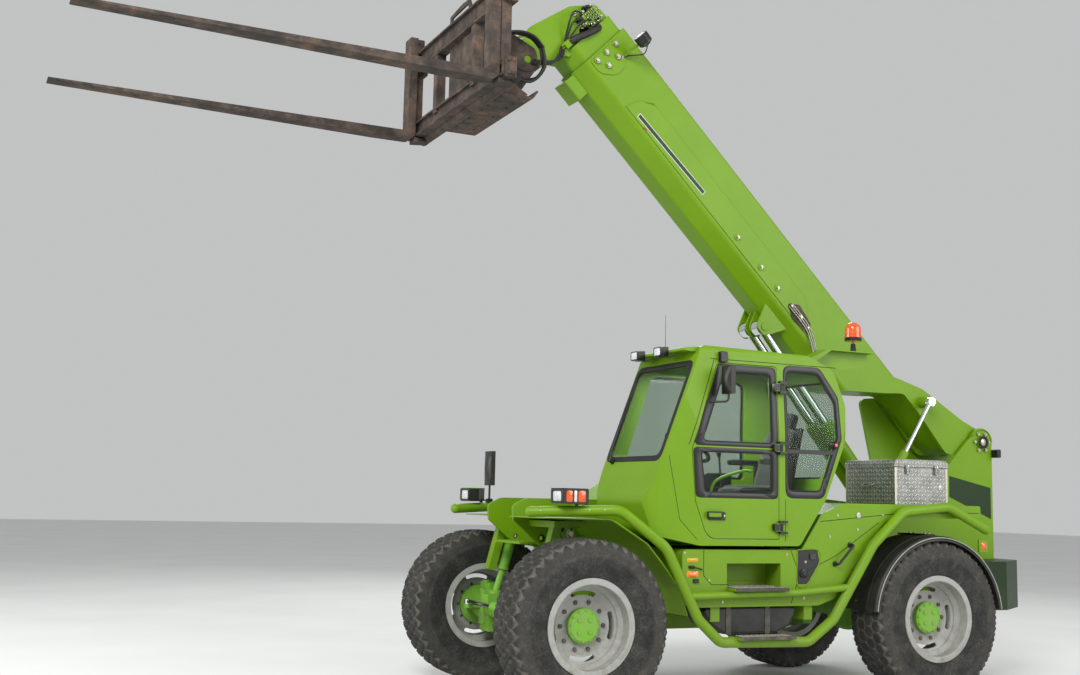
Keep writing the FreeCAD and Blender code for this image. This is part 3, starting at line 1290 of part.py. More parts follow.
def nodes():
    """Every named piece, at its place from the rear axle."""
    made = {}
    corners = {"fl": (FRONT_AXLE_X, True), "fr": (FRONT_AXLE_X, False), "rl": (0, True), "rr": (0, False)}
    tyre_shape, rim_shape, hub_shape = tyre(), rim(), hub()
    for name, (x, left) in corners.items():
        made["tyre_" + name] = at_wheel(tyre_shape, x, left)
        made["rim_" + name] = at_wheel(rim_shape, x, left)
        made["hub_" + name] = at_wheel(hub_shape, x, left)
        arm_sign = 1 if x else -1
        made["knuckle_" + name] = at_kingpin(knuckle(arm_sign), x, left)
        if not x:
            made["mudguard_" + name] = at_kingpin(mudguard(), x, left)
    made["front_axle"] = front_axle()
    made["rear_axle"] = rear_axle()
    made["steering_rod_front"] = moved(steering_rod(1), x=FRONT_AXLE_X, z=AXLE_Z)
    made["steering_rod_rear"] = moved(steering_rod(-1), z=AXLE_Z)
    for make in (
        chassis_frame, suspension_cylinders, counterweight, ring_tubes, front_fenders, side_body_left,
        engine_hood, engine_block, tool_box, nose_mirror, boom_outer, boom_inner, lift_barrels, lift_rods,
        level_barrel, level_rod, tilt_barrel, tilt_rod, carriage, forks,
    ):
        made[make.__name__] = make()
    for make in (
        cab_shell, cab_roof, cab_glass, cab_door, door_glass, seat_base, seat, controls, beacon, door_mirror,
    ):
        made[make.__name__] = moved(make(), x=FRONT_AXLE_X)
    made["lamps"] = Part.makeCompound([lamps(), moved(roof_lamps(), x=FRONT_AXLE_X)])
    return made


os.makedirs("parts", exist_ok=True)
for node_name, node_shape in nodes().items():
    moved(node_shape, x=FRAME_SHIFT).exportStep("parts/" + node_name + ".step")
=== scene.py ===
# %% [markdown]
# A rough-terrain telescopic handler, dressed for its picture.
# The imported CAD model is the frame: every solid of it has the real place, size and body.
# This lesson gives the solids their paint, rubber, glass and rust, and adds the pieces that are
# too thin or too fine for CAD: tread, hoses, seals, nuts, panel gaps, lenses and upholstery.
# All lengths are in metres, X runs to the front, Y to the machine's left and Z up.

# %% Load the frame
import math
import numpy as np
import bpy
from mathutils import Matrix, Vector


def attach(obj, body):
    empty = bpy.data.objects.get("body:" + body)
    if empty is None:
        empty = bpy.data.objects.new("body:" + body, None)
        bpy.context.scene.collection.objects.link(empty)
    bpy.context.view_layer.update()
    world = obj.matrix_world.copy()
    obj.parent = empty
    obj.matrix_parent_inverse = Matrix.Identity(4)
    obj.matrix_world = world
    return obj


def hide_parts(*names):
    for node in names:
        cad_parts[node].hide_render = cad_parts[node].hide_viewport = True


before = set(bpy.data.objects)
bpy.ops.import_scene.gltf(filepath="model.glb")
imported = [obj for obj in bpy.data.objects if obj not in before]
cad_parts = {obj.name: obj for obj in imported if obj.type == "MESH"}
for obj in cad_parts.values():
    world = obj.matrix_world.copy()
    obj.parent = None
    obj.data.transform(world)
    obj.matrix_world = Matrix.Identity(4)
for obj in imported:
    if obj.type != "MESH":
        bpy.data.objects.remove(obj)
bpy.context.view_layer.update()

# %% [markdown]
# The machine was first measured from the middle of its rear axle, and the model's origin lies
# under the middle of the parked machine. One number turns the first into the second, so every
# place below can be written as a distance from the rear axle.

# %% The way from the rear axle to the origin
REAR_AXLE_X = -2.565


def spot(x, y, z):
    """A point given from the rear axle, in the model's frame."""
    return (x + REAR_AXLE_X, y, z)


FRONT, LEFT, UP = (1, 0, 0), (0, 1, 0), (0, 0, 1)
REAR, RIGHT, DOWN = (-1, 0, 0), (0, -1, 0), (0, 0, -1)
BOOM_ANGLE = math.radians(44.3)
PIVOT = spot(-1.530, -0.150, 2.185)
ALONG = np.array([math.cos(BOOM_ANGLE), 0.0, math.sin(BOOM_ANGLE)])
ACROSS = np.array([-math.sin(BOOM_ANGLE), 0.0, math.cos(BOOM_ANGLE)])


def hand(side):
    """The word in a piece's name for side 1 and side -1."""
    return "left" if side > 0 else "right"


def boom_spot(s, y, n):
    """A point s along the boom from its pivot and n square to it, at the side place y."""
    return np.array([PIVOT[0], y, PIVOT[2]]) + ALONG * s + ACROSS * n


print("boom head pin", boom_spot(5.6, -0.15, -1.235).round(3))

# %% [markdown]
# The camera stands where the photographer stood: eye height, left of the nose, and turned so that
# the raised forks stay in view. Its place and turn come from the four wheels and the upright
# lines of the picture, and the lens from how fast the machine shrinks towards its rear.

# %% Camera
scene = bpy.context.scene
camera_data = bpy.data.cameras.new("camera")
camera_data.sensor_width = 36.0
camera_data.lens = 42.73
camera = bpy.data.objects.new("camera", camera_data)
scene.collection.objects.link(camera)
eye = Vector(spot(7.6239, 9.5092, 1.5484))
to_the_right = Vector((-0.90342, 0.42822, 0.02165))
upward = Vector((0.07302, 0.10390, 0.99190))
backward = Vector((0.42250, 0.89768, -0.12514))
turn = Matrix((to_the_right, upward, backward)).transposed()
camera.matrix_world = Matrix.Translation(eye) @ turn.to_4x4()
scene.camera = camera
print("camera at", [round(v, 2) for v in eye], "lens", camera_data.lens, "mm")

# %% [markdown]
# Soft studio light: one wide key from the camera's left and above, a weaker fill from the right, a
# strip behind for the edges, one in front, a small lamp in the cab, and an even grey world. The
# floor is pale and plain, and it isn't part of the machine.

# %% Floor and light
scene.view_settings.view_transform = "Standard"


def soft_light(name, place, aim, size, watts):
    """A square area lamp at place that looks at aim."""
    data = bpy.data.lights.new(name, "AREA")
    data.shape = "SQUARE"
    data.size = size
    data.energy = watts
    lamp = bpy.data.objects.new(name, data)
    lamp.matrix_world = Matrix.Translation(place) @ (Vector(place) - Vector(aim)).to_track_quat("Z",
            "Y").to_matrix().to_4x4()
    scene.collection.objects.link(lamp)
    return lamp


soft_light("key", (9.0, 10.0, 11.0), (0.0, 0.0, 2.2), 7.0, 2300.0)
soft_light("fill", (-8.0, 11.0, 6.0), (0.0, 0.0, 1.8), 8.0, 900.0)
soft_light("rear_strip", (-6.0, -10.0, 9.0), (0.0, 0.0, 2.5), 6.0, 520.0)
soft_light("front_strip", (12.0, -5.0, 5.0), (0.0, 0.0, 2.0), 5.0, 600.0)
soft_light("cab_light", spot(1.75, 0.62, 2.62), spot(1.75, 0.62, 1.30), 0.45, 26.0)

# %% [markdown]
# Colours are written as sRGB hex, the way a paint shop reads them off a card, and Blender's
# shaders want linear light. One function turns the first into the second. A finish is built node
# by node, and the class below shortens each step, so that a whole finish reads like a recipe.
# Every step gives back a link, (node, output), that the next step can take.

# %% A helper for every finish
MM = 0.001


def linear(code):
    """sRGB hex to linear: v / 12.92 below 0.04045, else ((v + 0.055) / 1.055) to the power 2.4."""
    v = np.array([int(code[i:i + 2], 16) / 255 for i in (1, 3, 5)])
    v = np.where(v <= 0.04045, v / 12.92, ((v + 0.055) / 1.055) ** 2.4)
    return (*v.tolist(), 1.0)


def per_mm(size):
    """Noise scale whose grains are about size millimetres across on Object coordinates."""
    return 1.0 / (size * MM)


class Finish:
    """A material being made: its Principled shader, its Object coordinates and one method a node."""

    def __init__(self, name):
        self.material = bpy.data.materials.new(name)
        self.material.use_nodes = True
        self.material.node_tree.nodes.clear()
        self.shader = self.add("BsdfPrincipled")
        self.output = self.add("OutputMaterial", Surface=(self.shader, "BSDF"))
        self.place = self.add("TexCoord"), "Object"

    def add(self, kind, settings=None, **sockets):
        """Adds one shader node. Settings are its properties, sockets its inputs."""
        made = self.material.node_tree.nodes.new("ShaderNode" + kind)
        for key, value in (settings or {}).items():
            setattr(made, key, value)
        self.feed(made, sockets)
        return made

    def feed(self, node, sockets):
        """Puts each value or link on its socket, named by name or as _number."""
        for key, value in sockets.items():
            socket = node.inputs[int(key[1:]) if key[0] == "_" else key.replace("_", " ")]
            if isinstance(value, tuple) and isinstance(value[0], bpy.types.Node):
                self.material.node_tree.links.new(value[0].outputs[value[1]], socket)
            else:
                socket.default_value = value

    def noise(self, size, detail=2.0, roughness=0.5, place=None):
        """Noise with grains about size millimetres across."""
        return self.add("TexNoise", Vector=place or self.place, Scale=per_mm(size), Detail=detail,
                        Roughness=roughness), "Fac"

    def wave(self, size, way, distortion=0.0):
        """Bands size millimetres apart along one axis."""
        return self.add("TexWave", {"bands_direction": way}, Vector=self.place,
                        Scale=per_mm(size) / 6.28, Distortion=distortion), "Fac"

    def maths(self, operation, *values, clamp=False):
        """One sum of links and numbers."""
        sockets = {f"_{k}": value for k, value in enumerate(values)}
        return self.add("Math", {"operation": operation, "use_clamp": clamp}, **sockets), "Value"

    def span(self, source, low=0.0, high=1.0, to_low=0.0, to_high=1.0):
        """The range low to high stretched to the range to_low to to_high."""
        return self.add("MapRange", Value=source, From_Min=low, From_Max=high, To_Min=to_low,
                        To_Max=to_high), "Result"

    def mix(self, share, first, second):
        """Two colours, each a link or a hex code, mixed by share."""
        first, second = (linear(c) if isinstance(c, str) else c for c in (first, second))
        return self.add("Mix", {"data_type": "RGBA"}, Factor=share, _6=first, _7=second), 2

    def ramp(self, factor, *stops):
        """A colour ramp from (position, hex) pairs."""
        made = self.add("ValToRGB", Fac=factor)
        marks = made.color_ramp.elements
        while len(marks) < len(stops):
            marks.new(0.5)
        for mark, (at, code) in zip(marks, stops):
            mark.position = at
            mark.color = linear(code)
        return made, "Color"

    def bump(self, height, strength, distance=MM):
        """A bump whose hills are distance metres high."""
        return self.add("Bump", Height=height, Strength=strength, Distance=distance), "Normal"

    def axis(self, source, name):
        """One coordinate of a vector."""
        return self.add("SeparateXYZ", Vector=source), name

    def done(self, **sockets):
        """Puts the last values on the Principled shader and gives the material."""
        self.feed(self.shader, sockets)
        return self.material


print("per_mm(250) =", round(per_mm(250), 2))

# %% [markdown]
# The two-pack paint of construction machines is sprayed over primer: a full, slightly orange-peeled
# gloss that sun makes paler on top and that road dust dulls near the ground. Three things give
# that to the eye. A slow noise, hand-sized, shifts the tint by a few percent. A ramp on the height
# above the ground mixes in pale dust, broken up by a second noise. The roughness follows the dust,
# so dirty places don't shine. The peel is really 1 mm; it is drawn at 6 mm so that it shows at all.

# %% Sprayed paint, in every colour the machine wears
def sprayed_paint(name, tint, pale, dust, dust_height=1.25, gloss=0.42, peel=0.04):
    """Mix of tint and pale by noise, then of dust by (dust_height - z) plus noise."""
    coat = Finish(name)
    paint = coat.mix(coat.noise(420, 5.0, 0.6), tint, pale)
    low = coat.span(coat.axis(coat.place, "Z"), dust_height, 0.2, 0.0, 0.75)
    broken = coat.span(coat.noise(90, 8.0, 0.72), 0.38, 0.72, 0.05, 1.0)
    dirt = coat.maths("MULTIPLY", low, broken, clamp=True)
    film = coat.maths("MULTIPLY_ADD", broken, 0.07, dirt, clamp=True)
    return coat.done(Base_Color=coat.mix(film, paint, dust), Roughness=coat.span(film, 0.0, 0.8, gloss, 0.8),
                     Normal=coat.bump(coat.noise(6), peel), Coat_Weight=0.04, Coat_Roughness=0.2,
                     Specular_IOR_Level=0.26)


lime = sprayed_paint("sprayed_lime_enamel", "#5C8300", "#699004", "#6E6C40")
lime_axle = sprayed_paint("sprayed_lime_enamel_on_castings", "#569A0C", "#6AA824", "#8A8466", 1.6, 0.45, 0.35)
forest = sprayed_paint("sprayed_forest_enamel", "#0F2609", "#16300D", "#4A4836", 0.9)
silver = sprayed_paint("sprayed_silver_wheel_enamel", "#8E908C", "#A2A39E", "#6E6655")
charcoal = sprayed_paint("sprayed_charcoal_enamel", "#2A2B2A", "#383835", "#837A66", gloss=0.5)
print("paints", lime.name, forest.name, silver.name, charcoal.name)

# %% [markdown]
# The forks and their carriage are hot-rolled steel whose thin brown primer has worn through on
# edges and blades. The eye sees three layers: dark brown paint in big patches, orange rust where
# it is scratched, and bare grey steel along the most used edges. Two noises of different size
# choose between them, and stretched noise draws scratches along the blades.

# %% Worn brown steel
def worn_steel(name):
    """Brown and rust mixed by patch noise, pale scratches by a noise stretched nine times along X."""
    steel = Finish(name)
    base = steel.ramp(steel.noise(160, 10.0, 0.7), (0.30, "#1D1916"), (0.46, "#352C26"), (0.58, "#4E4036"),
                      (0.68, "#6B4C36"), (0.78, "#8A5830"))
    stretched = steel.add("Mapping", Vector=steel.place, Scale=(1.0, 9.0, 9.0)), "Vector"
    bare = steel.span(steel.noise(110, 6.0, 0.8, stretched), 0.60, 0.68, 0.0, 0.7)
    return steel.done(Base_Color=steel.mix(bare, base, "#8D857C"),
                      Roughness=steel.span(bare, to_low=0.82, to_high=0.45),
                      Normal=steel.bump(steel.noise(7, 6.0, 0.7), 0.35, 2 * MM),
                      Metallic=steel.maths("MULTIPLY", bare, 0.8))


brown_steel = worn_steel("worn_primed_hot_rolled_steel")

# %% [markdown]
# Axles, knuckles and the engine are cast iron: sand-rough, dark, oily in places and dusty on top.
# The cast skin is drawn with a 5 mm noise bump, and dust lies where the surface looks up, which
# the Z part of the normal tells.

# %% Dusty cast iron
def cast_iron(name):
    """Dark iron and dust mixed by how far the face looks up, times noise."""
    casting = Finish(name)
    up = casting.axis((casting.add("NewGeometry"), "Normal"), "Z")
    dust = casting.maths("MULTIPLY", casting.span(up, -0.5, 1.0, 0.15, 1.2), casting.noise(70, 8.0, 0.7),
                         clamp=True)
    return casting.done(Base_Color=casting.ramp(dust, (0.15, "#1F1F1E"), (0.42, "#3A3733"),
                                                (0.75, "#7A705F")),
                        Roughness=0.72, Metallic=0.25,
                        Normal=casting.bump(casting.noise(5, 4.0), 0.4, 1.5 * MM))


iron = cast_iron("sand_cast_iron")

# %% [markdown]
# Tyre rubber is carbon black with wax that greys it, and here dried clay fills the sides and the
# grooves. The lugs' worn tops stay darker. The clay is a wide noise over the rubber, and it thins
# out where a second, finer noise says that the rubber has rubbed clean. The tread below carries an
# attribute named clay, 1 in its grooves, and a second rubber lays grey clay where it says.

# %% Dusty tyre rubber
def tyre_rubber(name, packed_grooves=False):
    """Black rubber and grey-brown clay mixed by two noises; bump from the fine one."""
    tread = Finish(name)
    fine = tread.noise(14, 6.0, 0.7)
    both = tread.maths("MULTIPLY", tread.noise(120, 7.0, 0.65), fine)
    colour = tread.ramp(both, (0.10, "#191918"), (0.24, "#2A2A28"), (0.36, "#413F3A"), (0.50, "#5D5A51"))
    if packed_grooves:
        grooves = tread.add("Attribute", {"attribute_name": "clay"}), "Fac"
        packed = tread.span(tread.noise(45, 7.0, 0.7), 0.25, 0.6, 0.25, 1.0)
        colour = tread.mix(tread.maths("MULTIPLY", grooves, packed, clamp=True), colour, "#65625A")
    return tread.done(Base_Color=colour, Roughness=0.88, Normal=tread.bump(fine, 0.35, 1.5 * MM),
                      Specular_IOR_Level=0.3)


rubber = tyre_rubber("moulded_tyre_rubber")
treaded_rubber = tyre_rubber("moulded_tyre_rubber_with_clay", True)

# %% [markdown]
# Mudguards, trims, dash and lamp bodies are moulded polypropylene and ABS: near black, with a fine
# eroded grain that spreads the highlight, and a grey bloom from sun and dust. Seals, hoses and the
# coloured films of stripes and reflectors differ from them only in tint, gloss and grain.

# %% Moulded plastics, rubbers and films
def moulded_plastic(name, tint, bloom, roughness, grain=2.5, strength=0.12):
    """Tint and bloom mixed by noise, with a bump of grains that are grain millimetres across."""
    skin = Finish(name)
    return skin.done(Base_Color=skin.ramp(skin.noise(180, 6.0, 0.65), (0.35, tint), (0.75, bloom)),
                     Roughness=roughness,
                     Normal=skin.bump(skin.noise(grain), strength, 0.8 * MM), IOR=1.46)


black_plastic = moulded_plastic("moulded_black_polypropylene", "#171716", "#33312D", 0.55)
trim_plastic = moulded_plastic("moulded_satin_abs", "#0E0E0E", "#1C1C1B", 0.38, 1.5, 0.05)
seal_rubber = moulded_plastic("extruded_epdm_seal", "#0B0B0B", "#191917", 0.7)
hose_rubber = moulded_plastic("braided_hydraulic_hose_rubber", "#131312", "#2B2925", 0.6, 3.0, 0.2)
white_film = moulded_plastic("cut_white_vinyl", "#C9CCC6", "#B2B5AD", 0.4, 2.0, 0.02)
red_film = moulded_plastic("cut_red_vinyl", "#8A1712", "#7A1A14", 0.4, 2.0, 0.02)
yellow_film = moulded_plastic("prismatic_yellow_reflector", "#B98A0C", "#C99A1A", 0.25, 2.0, 0.1)
pale_lip = moulded_plastic("weathered_grey_edge_rubber", "#8A8A82", "#A6A49A", 0.7, 3.0, 0.2)

# %% [markdown]
# Hydraulic rods are hard-chromed and ground steel: a mirror whose gloss wavers a little, as a thin
# oil film makes it do. Pins and bolts are zinc plated: paler, softer, slightly yellow. The glass of
# the mirrors is silvered behind.

# %% Chrome, zinc and silvered glass
def plated(name, tint, roughness):
    """A metal whose roughness wavers a little with a slow noise."""
    metal = Finish(name)
    return metal.done(Base_Color=linear(tint), Metallic=1.0,
                      Roughness=metal.span(metal.noise(60, 5.0), to_low=roughness * 0.7,
                                           to_high=roughness * 1.4))


chrome = plated("ground_hard_chrome", "#D5D8DC", 0.10)
zinc = plated("zinc_plated_steel", "#A9A69B", 0.36)
mirror_glass = plated("silvered_mirror_glass", "#C8CDD0", 0.04)

# %% [markdown]
# The tool box is folded from aluminium checker plate: short raised bars, 30 mm long, that point two
# ways in turn. Inside a cell of 34 mm a bar lies along one diagonal, and in the next cell along the
# other. The cell's parity picks the diagonal, and the distances along it and across it give the
# bar's rounded hill. The same nodes work on every face because each face uses the two coordinates
# that lie in it.

# %% Checker plate
def checker_plate(name):
    """Hill = clamp(1 - 2.2 along^2) * clamp(1 - 22 across^2), both in cells, from each cell's middle."""
    plate = Finish(name)
    normal = plate.add("NewGeometry"), "True Normal"
    on_end, on_top = (plate.maths("GREATER_THAN", plate.maths("ABSOLUTE", plate.axis(normal, way)),
                                  0.7) for way in "XZ")

    def either(share, first, second):
        """The first coordinate where share is 0 and the second where it is 1."""
        pair = {"_2": plate.axis(plate.place, first), "_3": plate.axis(plate.place, second)}
        return plate.add("Mix", {"data_type": "FLOAT"}, Factor=share, **pair), 0

    def inside(axis, cell=34 * MM):
        """Place inside the cell, -0.5 to 0.5, and the cell's number."""
        scaled = plate.maths("DIVIDE", axis, cell)
        number = plate.maths("FLOOR", scaled)
        return plate.maths("SUBTRACT", plate.maths("SUBTRACT", scaled, number), 0.5), number

    def hill(length, steep):
        """Clamp of 1 - steep times length squared."""
        return plate.maths("MULTIPLY_ADD", plate.maths("MULTIPLY", length, length), -steep, 1.0, clamp=True)

    a, a_number = inside(either(on_end, "X", "Y"))
    b, b_number = inside(either(on_top, "Z", "Y"))
    parity = plate.maths("FLOORED_MODULO", plate.maths("ADD", a_number, b_number), 2.0)
    turned_b = plate.maths("MULTIPLY", b, plate.maths("MULTIPLY_ADD", parity, 2.0, -1.0))
    bar = plate.maths("MULTIPLY", hill(plate.maths("ADD", a, turned_b), 2.2),
                      hill(plate.maths("SUBTRACT", a, turned_b), 22.0))
    metal = plate.ramp(plate.noise(80, 7.0, 0.7), (0.3, "#6B6B68"), (0.7, "#94948F"))
    return plate.done(Base_Color=plate.mix(bar, metal, "#C2C2BC"), Metallic=0.85, Roughness=0.42,
                      Normal=plate.bump(bar, 0.8, 3 * MM))


plate_aluminium = checker_plate("rolled_aluminium_checker_plate")

# %% [markdown]
# The panes are toughened glass, tinted green through, with a film of dust. A fully clear shader
# would bend every ray twice, so the glass is a tint that lets light straight through, mixed with
# gloss: dark enough to read as glass and clear enough to show the seat. The flatter the light
# strikes, the more of it is reflected, which Fresnel's law gives. Only a face seen from outside
# mirrors: from within, the law would tell of total reflection and the pane would look solid.

# %% Tinted glass and lamp lenses
def tinted_glass(name, tint, dusty):
    """Transparent tint mixed with gloss by Fresnel's share plus a thin dust film, on outer faces only."""
    pane = Finish(name)
    dust = pane.span(pane.noise(320, 5.0, 0.6), 0.35, 0.8, 0.01, dusty)
    share = pane.maths("ADD", (pane.add("Fresnel", IOR=1.45), "Fac"), dust, clamp=True)
    outer = pane.maths("SUBTRACT", 1.0, (pane.add("NewGeometry"), "Backfacing"))
    clear = pane.add("BsdfTransparent", Color=linear(tint)), "BSDF"
    both = pane.add("MixShader", Fac=pane.maths("MULTIPLY", share, outer), _1=clear, _2=(pane.shader, "BSDF"))
    pane.feed(pane.output, {"Surface": (both, "Shader")})
    return pane.done(Base_Color=linear("#5E655C"), Roughness=0.06, IOR=1.5, Specular_IOR_Level=0.9)


def lens_plastic(name, tint, glow, roughness=0.12):
    """Moulded acrylic: saturated colour, a little light passing through, ribs as a fine wave."""
    lens = Finish(name)
    return lens.done(Base_Color=lens.ramp(lens.noise(40, 4.0), (0.3, tint), (0.8, glow)), Roughness=roughness,
                     Normal=lens.bump(lens.wave(14, "Z"), 0.4, 2 * MM), IOR=1.49, Subsurface_Weight=0.25,
                     Subsurface_Radius=(0.02, 0.01, 0.005), Subsurface_Scale=0.02, Coat_Weight=0.6,
                     Coat_Roughness=0.04)


glass = tinted_glass("toughened_tinted_glass", "#E6EDE7", 0.07)
amber_lens = lens_plastic("moulded_amber_acrylic", "#C4470A", "#E0620F")
red_lens = lens_plastic("moulded_red_acrylic", "#8E0F0C", "#A81C16")
clear_lens = lens_plastic("moulded_clear_acrylic", "#B9BDBC", "#D6DAD9")
orange_marker = lens_plastic("moulded_orange_reflector", "#D8660E", "#E8851E")
screen_glass = lens_plastic("instrument_panel_glass", "#1B2420", "#26332B")

# %% [markdown]
# Seat covers on such machines are a woven polyester face on foam: black, matt, with a visible rib
# every few millimetres and a faint sheen at grazing angles.

# %% Woven seat cloth
def seat_cloth(name):
    """Two crossed waves as warp and weft, 3 mm apart, drawn at 6 mm so that they show."""
    woven = Finish(name)
    weave = woven.maths("MULTIPLY", woven.wave(6, "Y", 0.4), woven.wave(6, "Z", 0.4))
    return woven.done(Base_Color=woven.ramp(weave, (0.1, "#101113"), (0.8, "#2A2C30")), Roughness=0.9,
                      Normal=woven.bump(weave, 0.5, 2 * MM), Sheen_Weight=0.3)


cloth = seat_cloth("woven_polyester_seat_cloth")
print("materials", len(bpy.data.materials))

# %% [markdown]
# The studio floor is a pale painted screed. It carries the machine's shadow and nothing else, and
# it reads as part of the pale surround because the world has nearly the same tone.

# %% Stage
def paint_stage(reach=60):
    """A wide floor quad with a pale, faintly mottled finish, and an even world."""
    screed = Finish("pale_studio_floor")
    mottled = screed.ramp(screed.noise(1500, 4.0), (0.3, "#D4D5D4"), (0.7, "#DADBD9"))
    mesh = bpy.data.meshes.new("floor")
    mesh.from_pydata([(-reach, -reach, 0), (reach, -reach, 0), (reach, reach, 0), (-reach, reach, 0)], [],
                     [(0, 1, 2, 3)])
    mesh.materials.append(screed.done(Base_Color=mottled, Roughness=0.85))
    floor = bpy.data.objects.new("floor", mesh)
    scene.collection.objects.link(floor)
    scene.world = bpy.data.worlds.new("studio")
    scene.world.use_nodes = True
    surround = scene.world.node_tree.nodes["Background"].inputs
    surround["Color"].default_value = linear("#DCDDDD")
    surround["Strength"].default_value = 0.75


paint_stage()

# %% [markdown]
# Each CAD solid keeps its shape and gets its finish here. The record's own plain colours are
# replaced in the object's material slots, and nothing else of a solid is touched.

# %% Give every CAD node its finish
FINISHES = {
    lime: ("chassis_frame", "ring_tubes", "front_fenders", "side_body_left", "engine_hood", "cab_shell",
           "cab_roof",
           "cab_door", "boom_outer", "boom_inner", "lift_barrels", "level_barrel", "tilt_barrel"),
    forest: ("counterweight",),
    brown_steel: ("carriage", "forks"),
    iron: ("engine_block",),
    lime_axle: ("front_axle", "rear_axle", "suspension_cylinders", "knuckle_fl", "knuckle_fr", "knuckle_rl",
                "knuckle_rr", "hub_fl", "hub_fr", "hub_rl", "hub_rr"),
    silver: ("rim_fl", "rim_fr", "rim_rl", "rim_rr"),
    rubber: ("tyre_fl", "tyre_fr", "tyre_rl", "tyre_rr"),
    black_plastic: ("mudguard_rl", "mudguard_rr", "seat_base", "controls", "nose_mirror", "door_mirror"),
    chrome: ("steering_rod_front", "steering_rod_rear", "lift_rods", "level_rod", "tilt_rod"),
    plate_aluminium: ("tool_box",),
    glass: ("cab_glass", "door_glass"),
    cloth: ("seat",),
    trim_plastic: ("lamps",),
    amber_lens: ("beacon",),
}
for material, names in FINISHES.items():
    for name in names:
        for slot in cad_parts[name].material_slots:
            slot.material = material
print("nodes with a finish", sum(map(len, FINISHES.values())), "of", len(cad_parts))

# %% [markdown]
# Every new piece is a surface over two parameters. A grid of points is worked out as one numpy
# array, its faces join neighbours, and the whole goes into a mesh at once. Four small builders
# carry the lesson: a grid, a tube along a path, a profile turned about an axis, and a flat outline
# given a thickness. A fifth repeats one small shape at many places for nuts and bolts.

# %% Builders
def make(name, points, faces, material, body="machine", smooth=35.0, bevel=0.0):
    """Puts points and faces into a mesh object that rides on a body. Edges over smooth degrees stay sharp."""
    mesh = bpy.data.meshes.new(name)
    mesh.from_pydata(np.asarray(points, dtype=float).reshape(-1, 3).tolist(), [], faces)
    mesh.validate()
    mesh.polygons.foreach_set("use_smooth", np.full(len(mesh.polygons), smooth > 0))
    if smooth > 0:
        mesh.set_sharp_from_angle(angle=math.radians(smooth))
    mesh.materials.append(material)
    piece = bpy.data.objects.new(name, mesh)
    scene.collection.objects.link(piece)
    if bevel:
        edge = piece.modifiers.new("edge", "BEVEL")
        edge.width = bevel
        edge.segments = 2
        edge.limit_method = "ANGLE"
        edge.angle_limit = math.radians(50)
        edge.harden_normals = False
    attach(piece, body)
    return piece


def grid_faces(rows, columns, loop_rows=False, loop_columns=False):
    """Quads between neighbours of a rows by columns grid, closed on itself where asked."""
    r = np.arange(rows if loop_rows else rows - 1)
    c = np.arange(columns if loop_columns else columns - 1)
    i, j = np.meshgrid(r, c, indexing="ij")
    i2, j2 = (i + 1) % rows, (j + 1) % columns
    quads = np.stack([i * columns + j, i * columns + j2, i2 * columns + j2, i2 * columns + j], -1)
    return quads.reshape(-1, 4).tolist()


def path_frames(path):
    """Unit tangents and two normals along a path, each normal turned as little as possible from the last."""
    path = np.asarray(path, dtype=float)
    tangent = np.gradient(path, axis=0)
    tangent /= np.linalg.norm(tangent, axis=1)[:, None]
    guide = np.array([0.0, 0.0, 1.0]) if abs(tangent[0][2]) < 0.9 else np.array([1.0, 0.0, 0.0])
    first = np.empty_like(path)
    for k, t in enumerate(tangent):
        guide = guide - t * guide.dot(t)
        guide /= np.linalg.norm(guide)
        first[k] = guide
    return tangent, first, np.cross(tangent, first)


def tube_points(path, radius, sides):
    """Circle of sides points carried along the path: p + r (cos a * n + sin a * b)."""
    path = np.asarray(path, dtype=float)
    _, n, b = path_frames(path)
    a = np.linspace(0, 2 * np.pi, sides, endpoint=False)
    r = np.broadcast_to(np.asarray(radius, dtype=float), (len(path),))[:, None, None]
    ring = np.cos(a)[None, :, None] * n[:, None, :] + np.sin(a)[None, :, None] * b[:, None, :]
    return path[:, None, :] + ring * r


def tube(name, path, radius, material, body="machine", sides=16, smooth=40.0):
    """Closed tube along a path; radius is one number or one per point."""
    path = np.asarray(path, dtype=float)
    points = tube_points(path, radius, sides)
    rows = len(path)
    faces = grid_faces(rows, sides, loop_columns=True)
    faces.append(list(range(sides))[::-1])
    faces.append([(rows - 1) * sides + k for k in range(sides)])
    return make(name, points, faces, material, body, smooth)


def smooth_path(corners, steps=12):
    """Catmull-Rom curve through the corners: each stretch is a cubic of its four nearest corners."""
    p = np.asarray(corners, dtype=float)
    p = np.vstack([2 * p[0] - p[1], p, 2 * p[-1] - p[-2]])
    t = np.linspace(0, 1, steps, endpoint=False)[:, None]
    parts = [0.5 * (2 * p[k] + (p[k + 1] - p[k - 1]) * t
                    + (2 * p[k - 1] - 5 * p[k] + 4 * p[k + 1] - p[k + 2]) * t ** 2
                    + (3 * p[k] - p[k - 1] - 3 * p[k + 1] + p[k + 2]) * t ** 3) for k in range(1, len(p) - 2)]
    return np.vstack(parts + [p[-2:-1]])


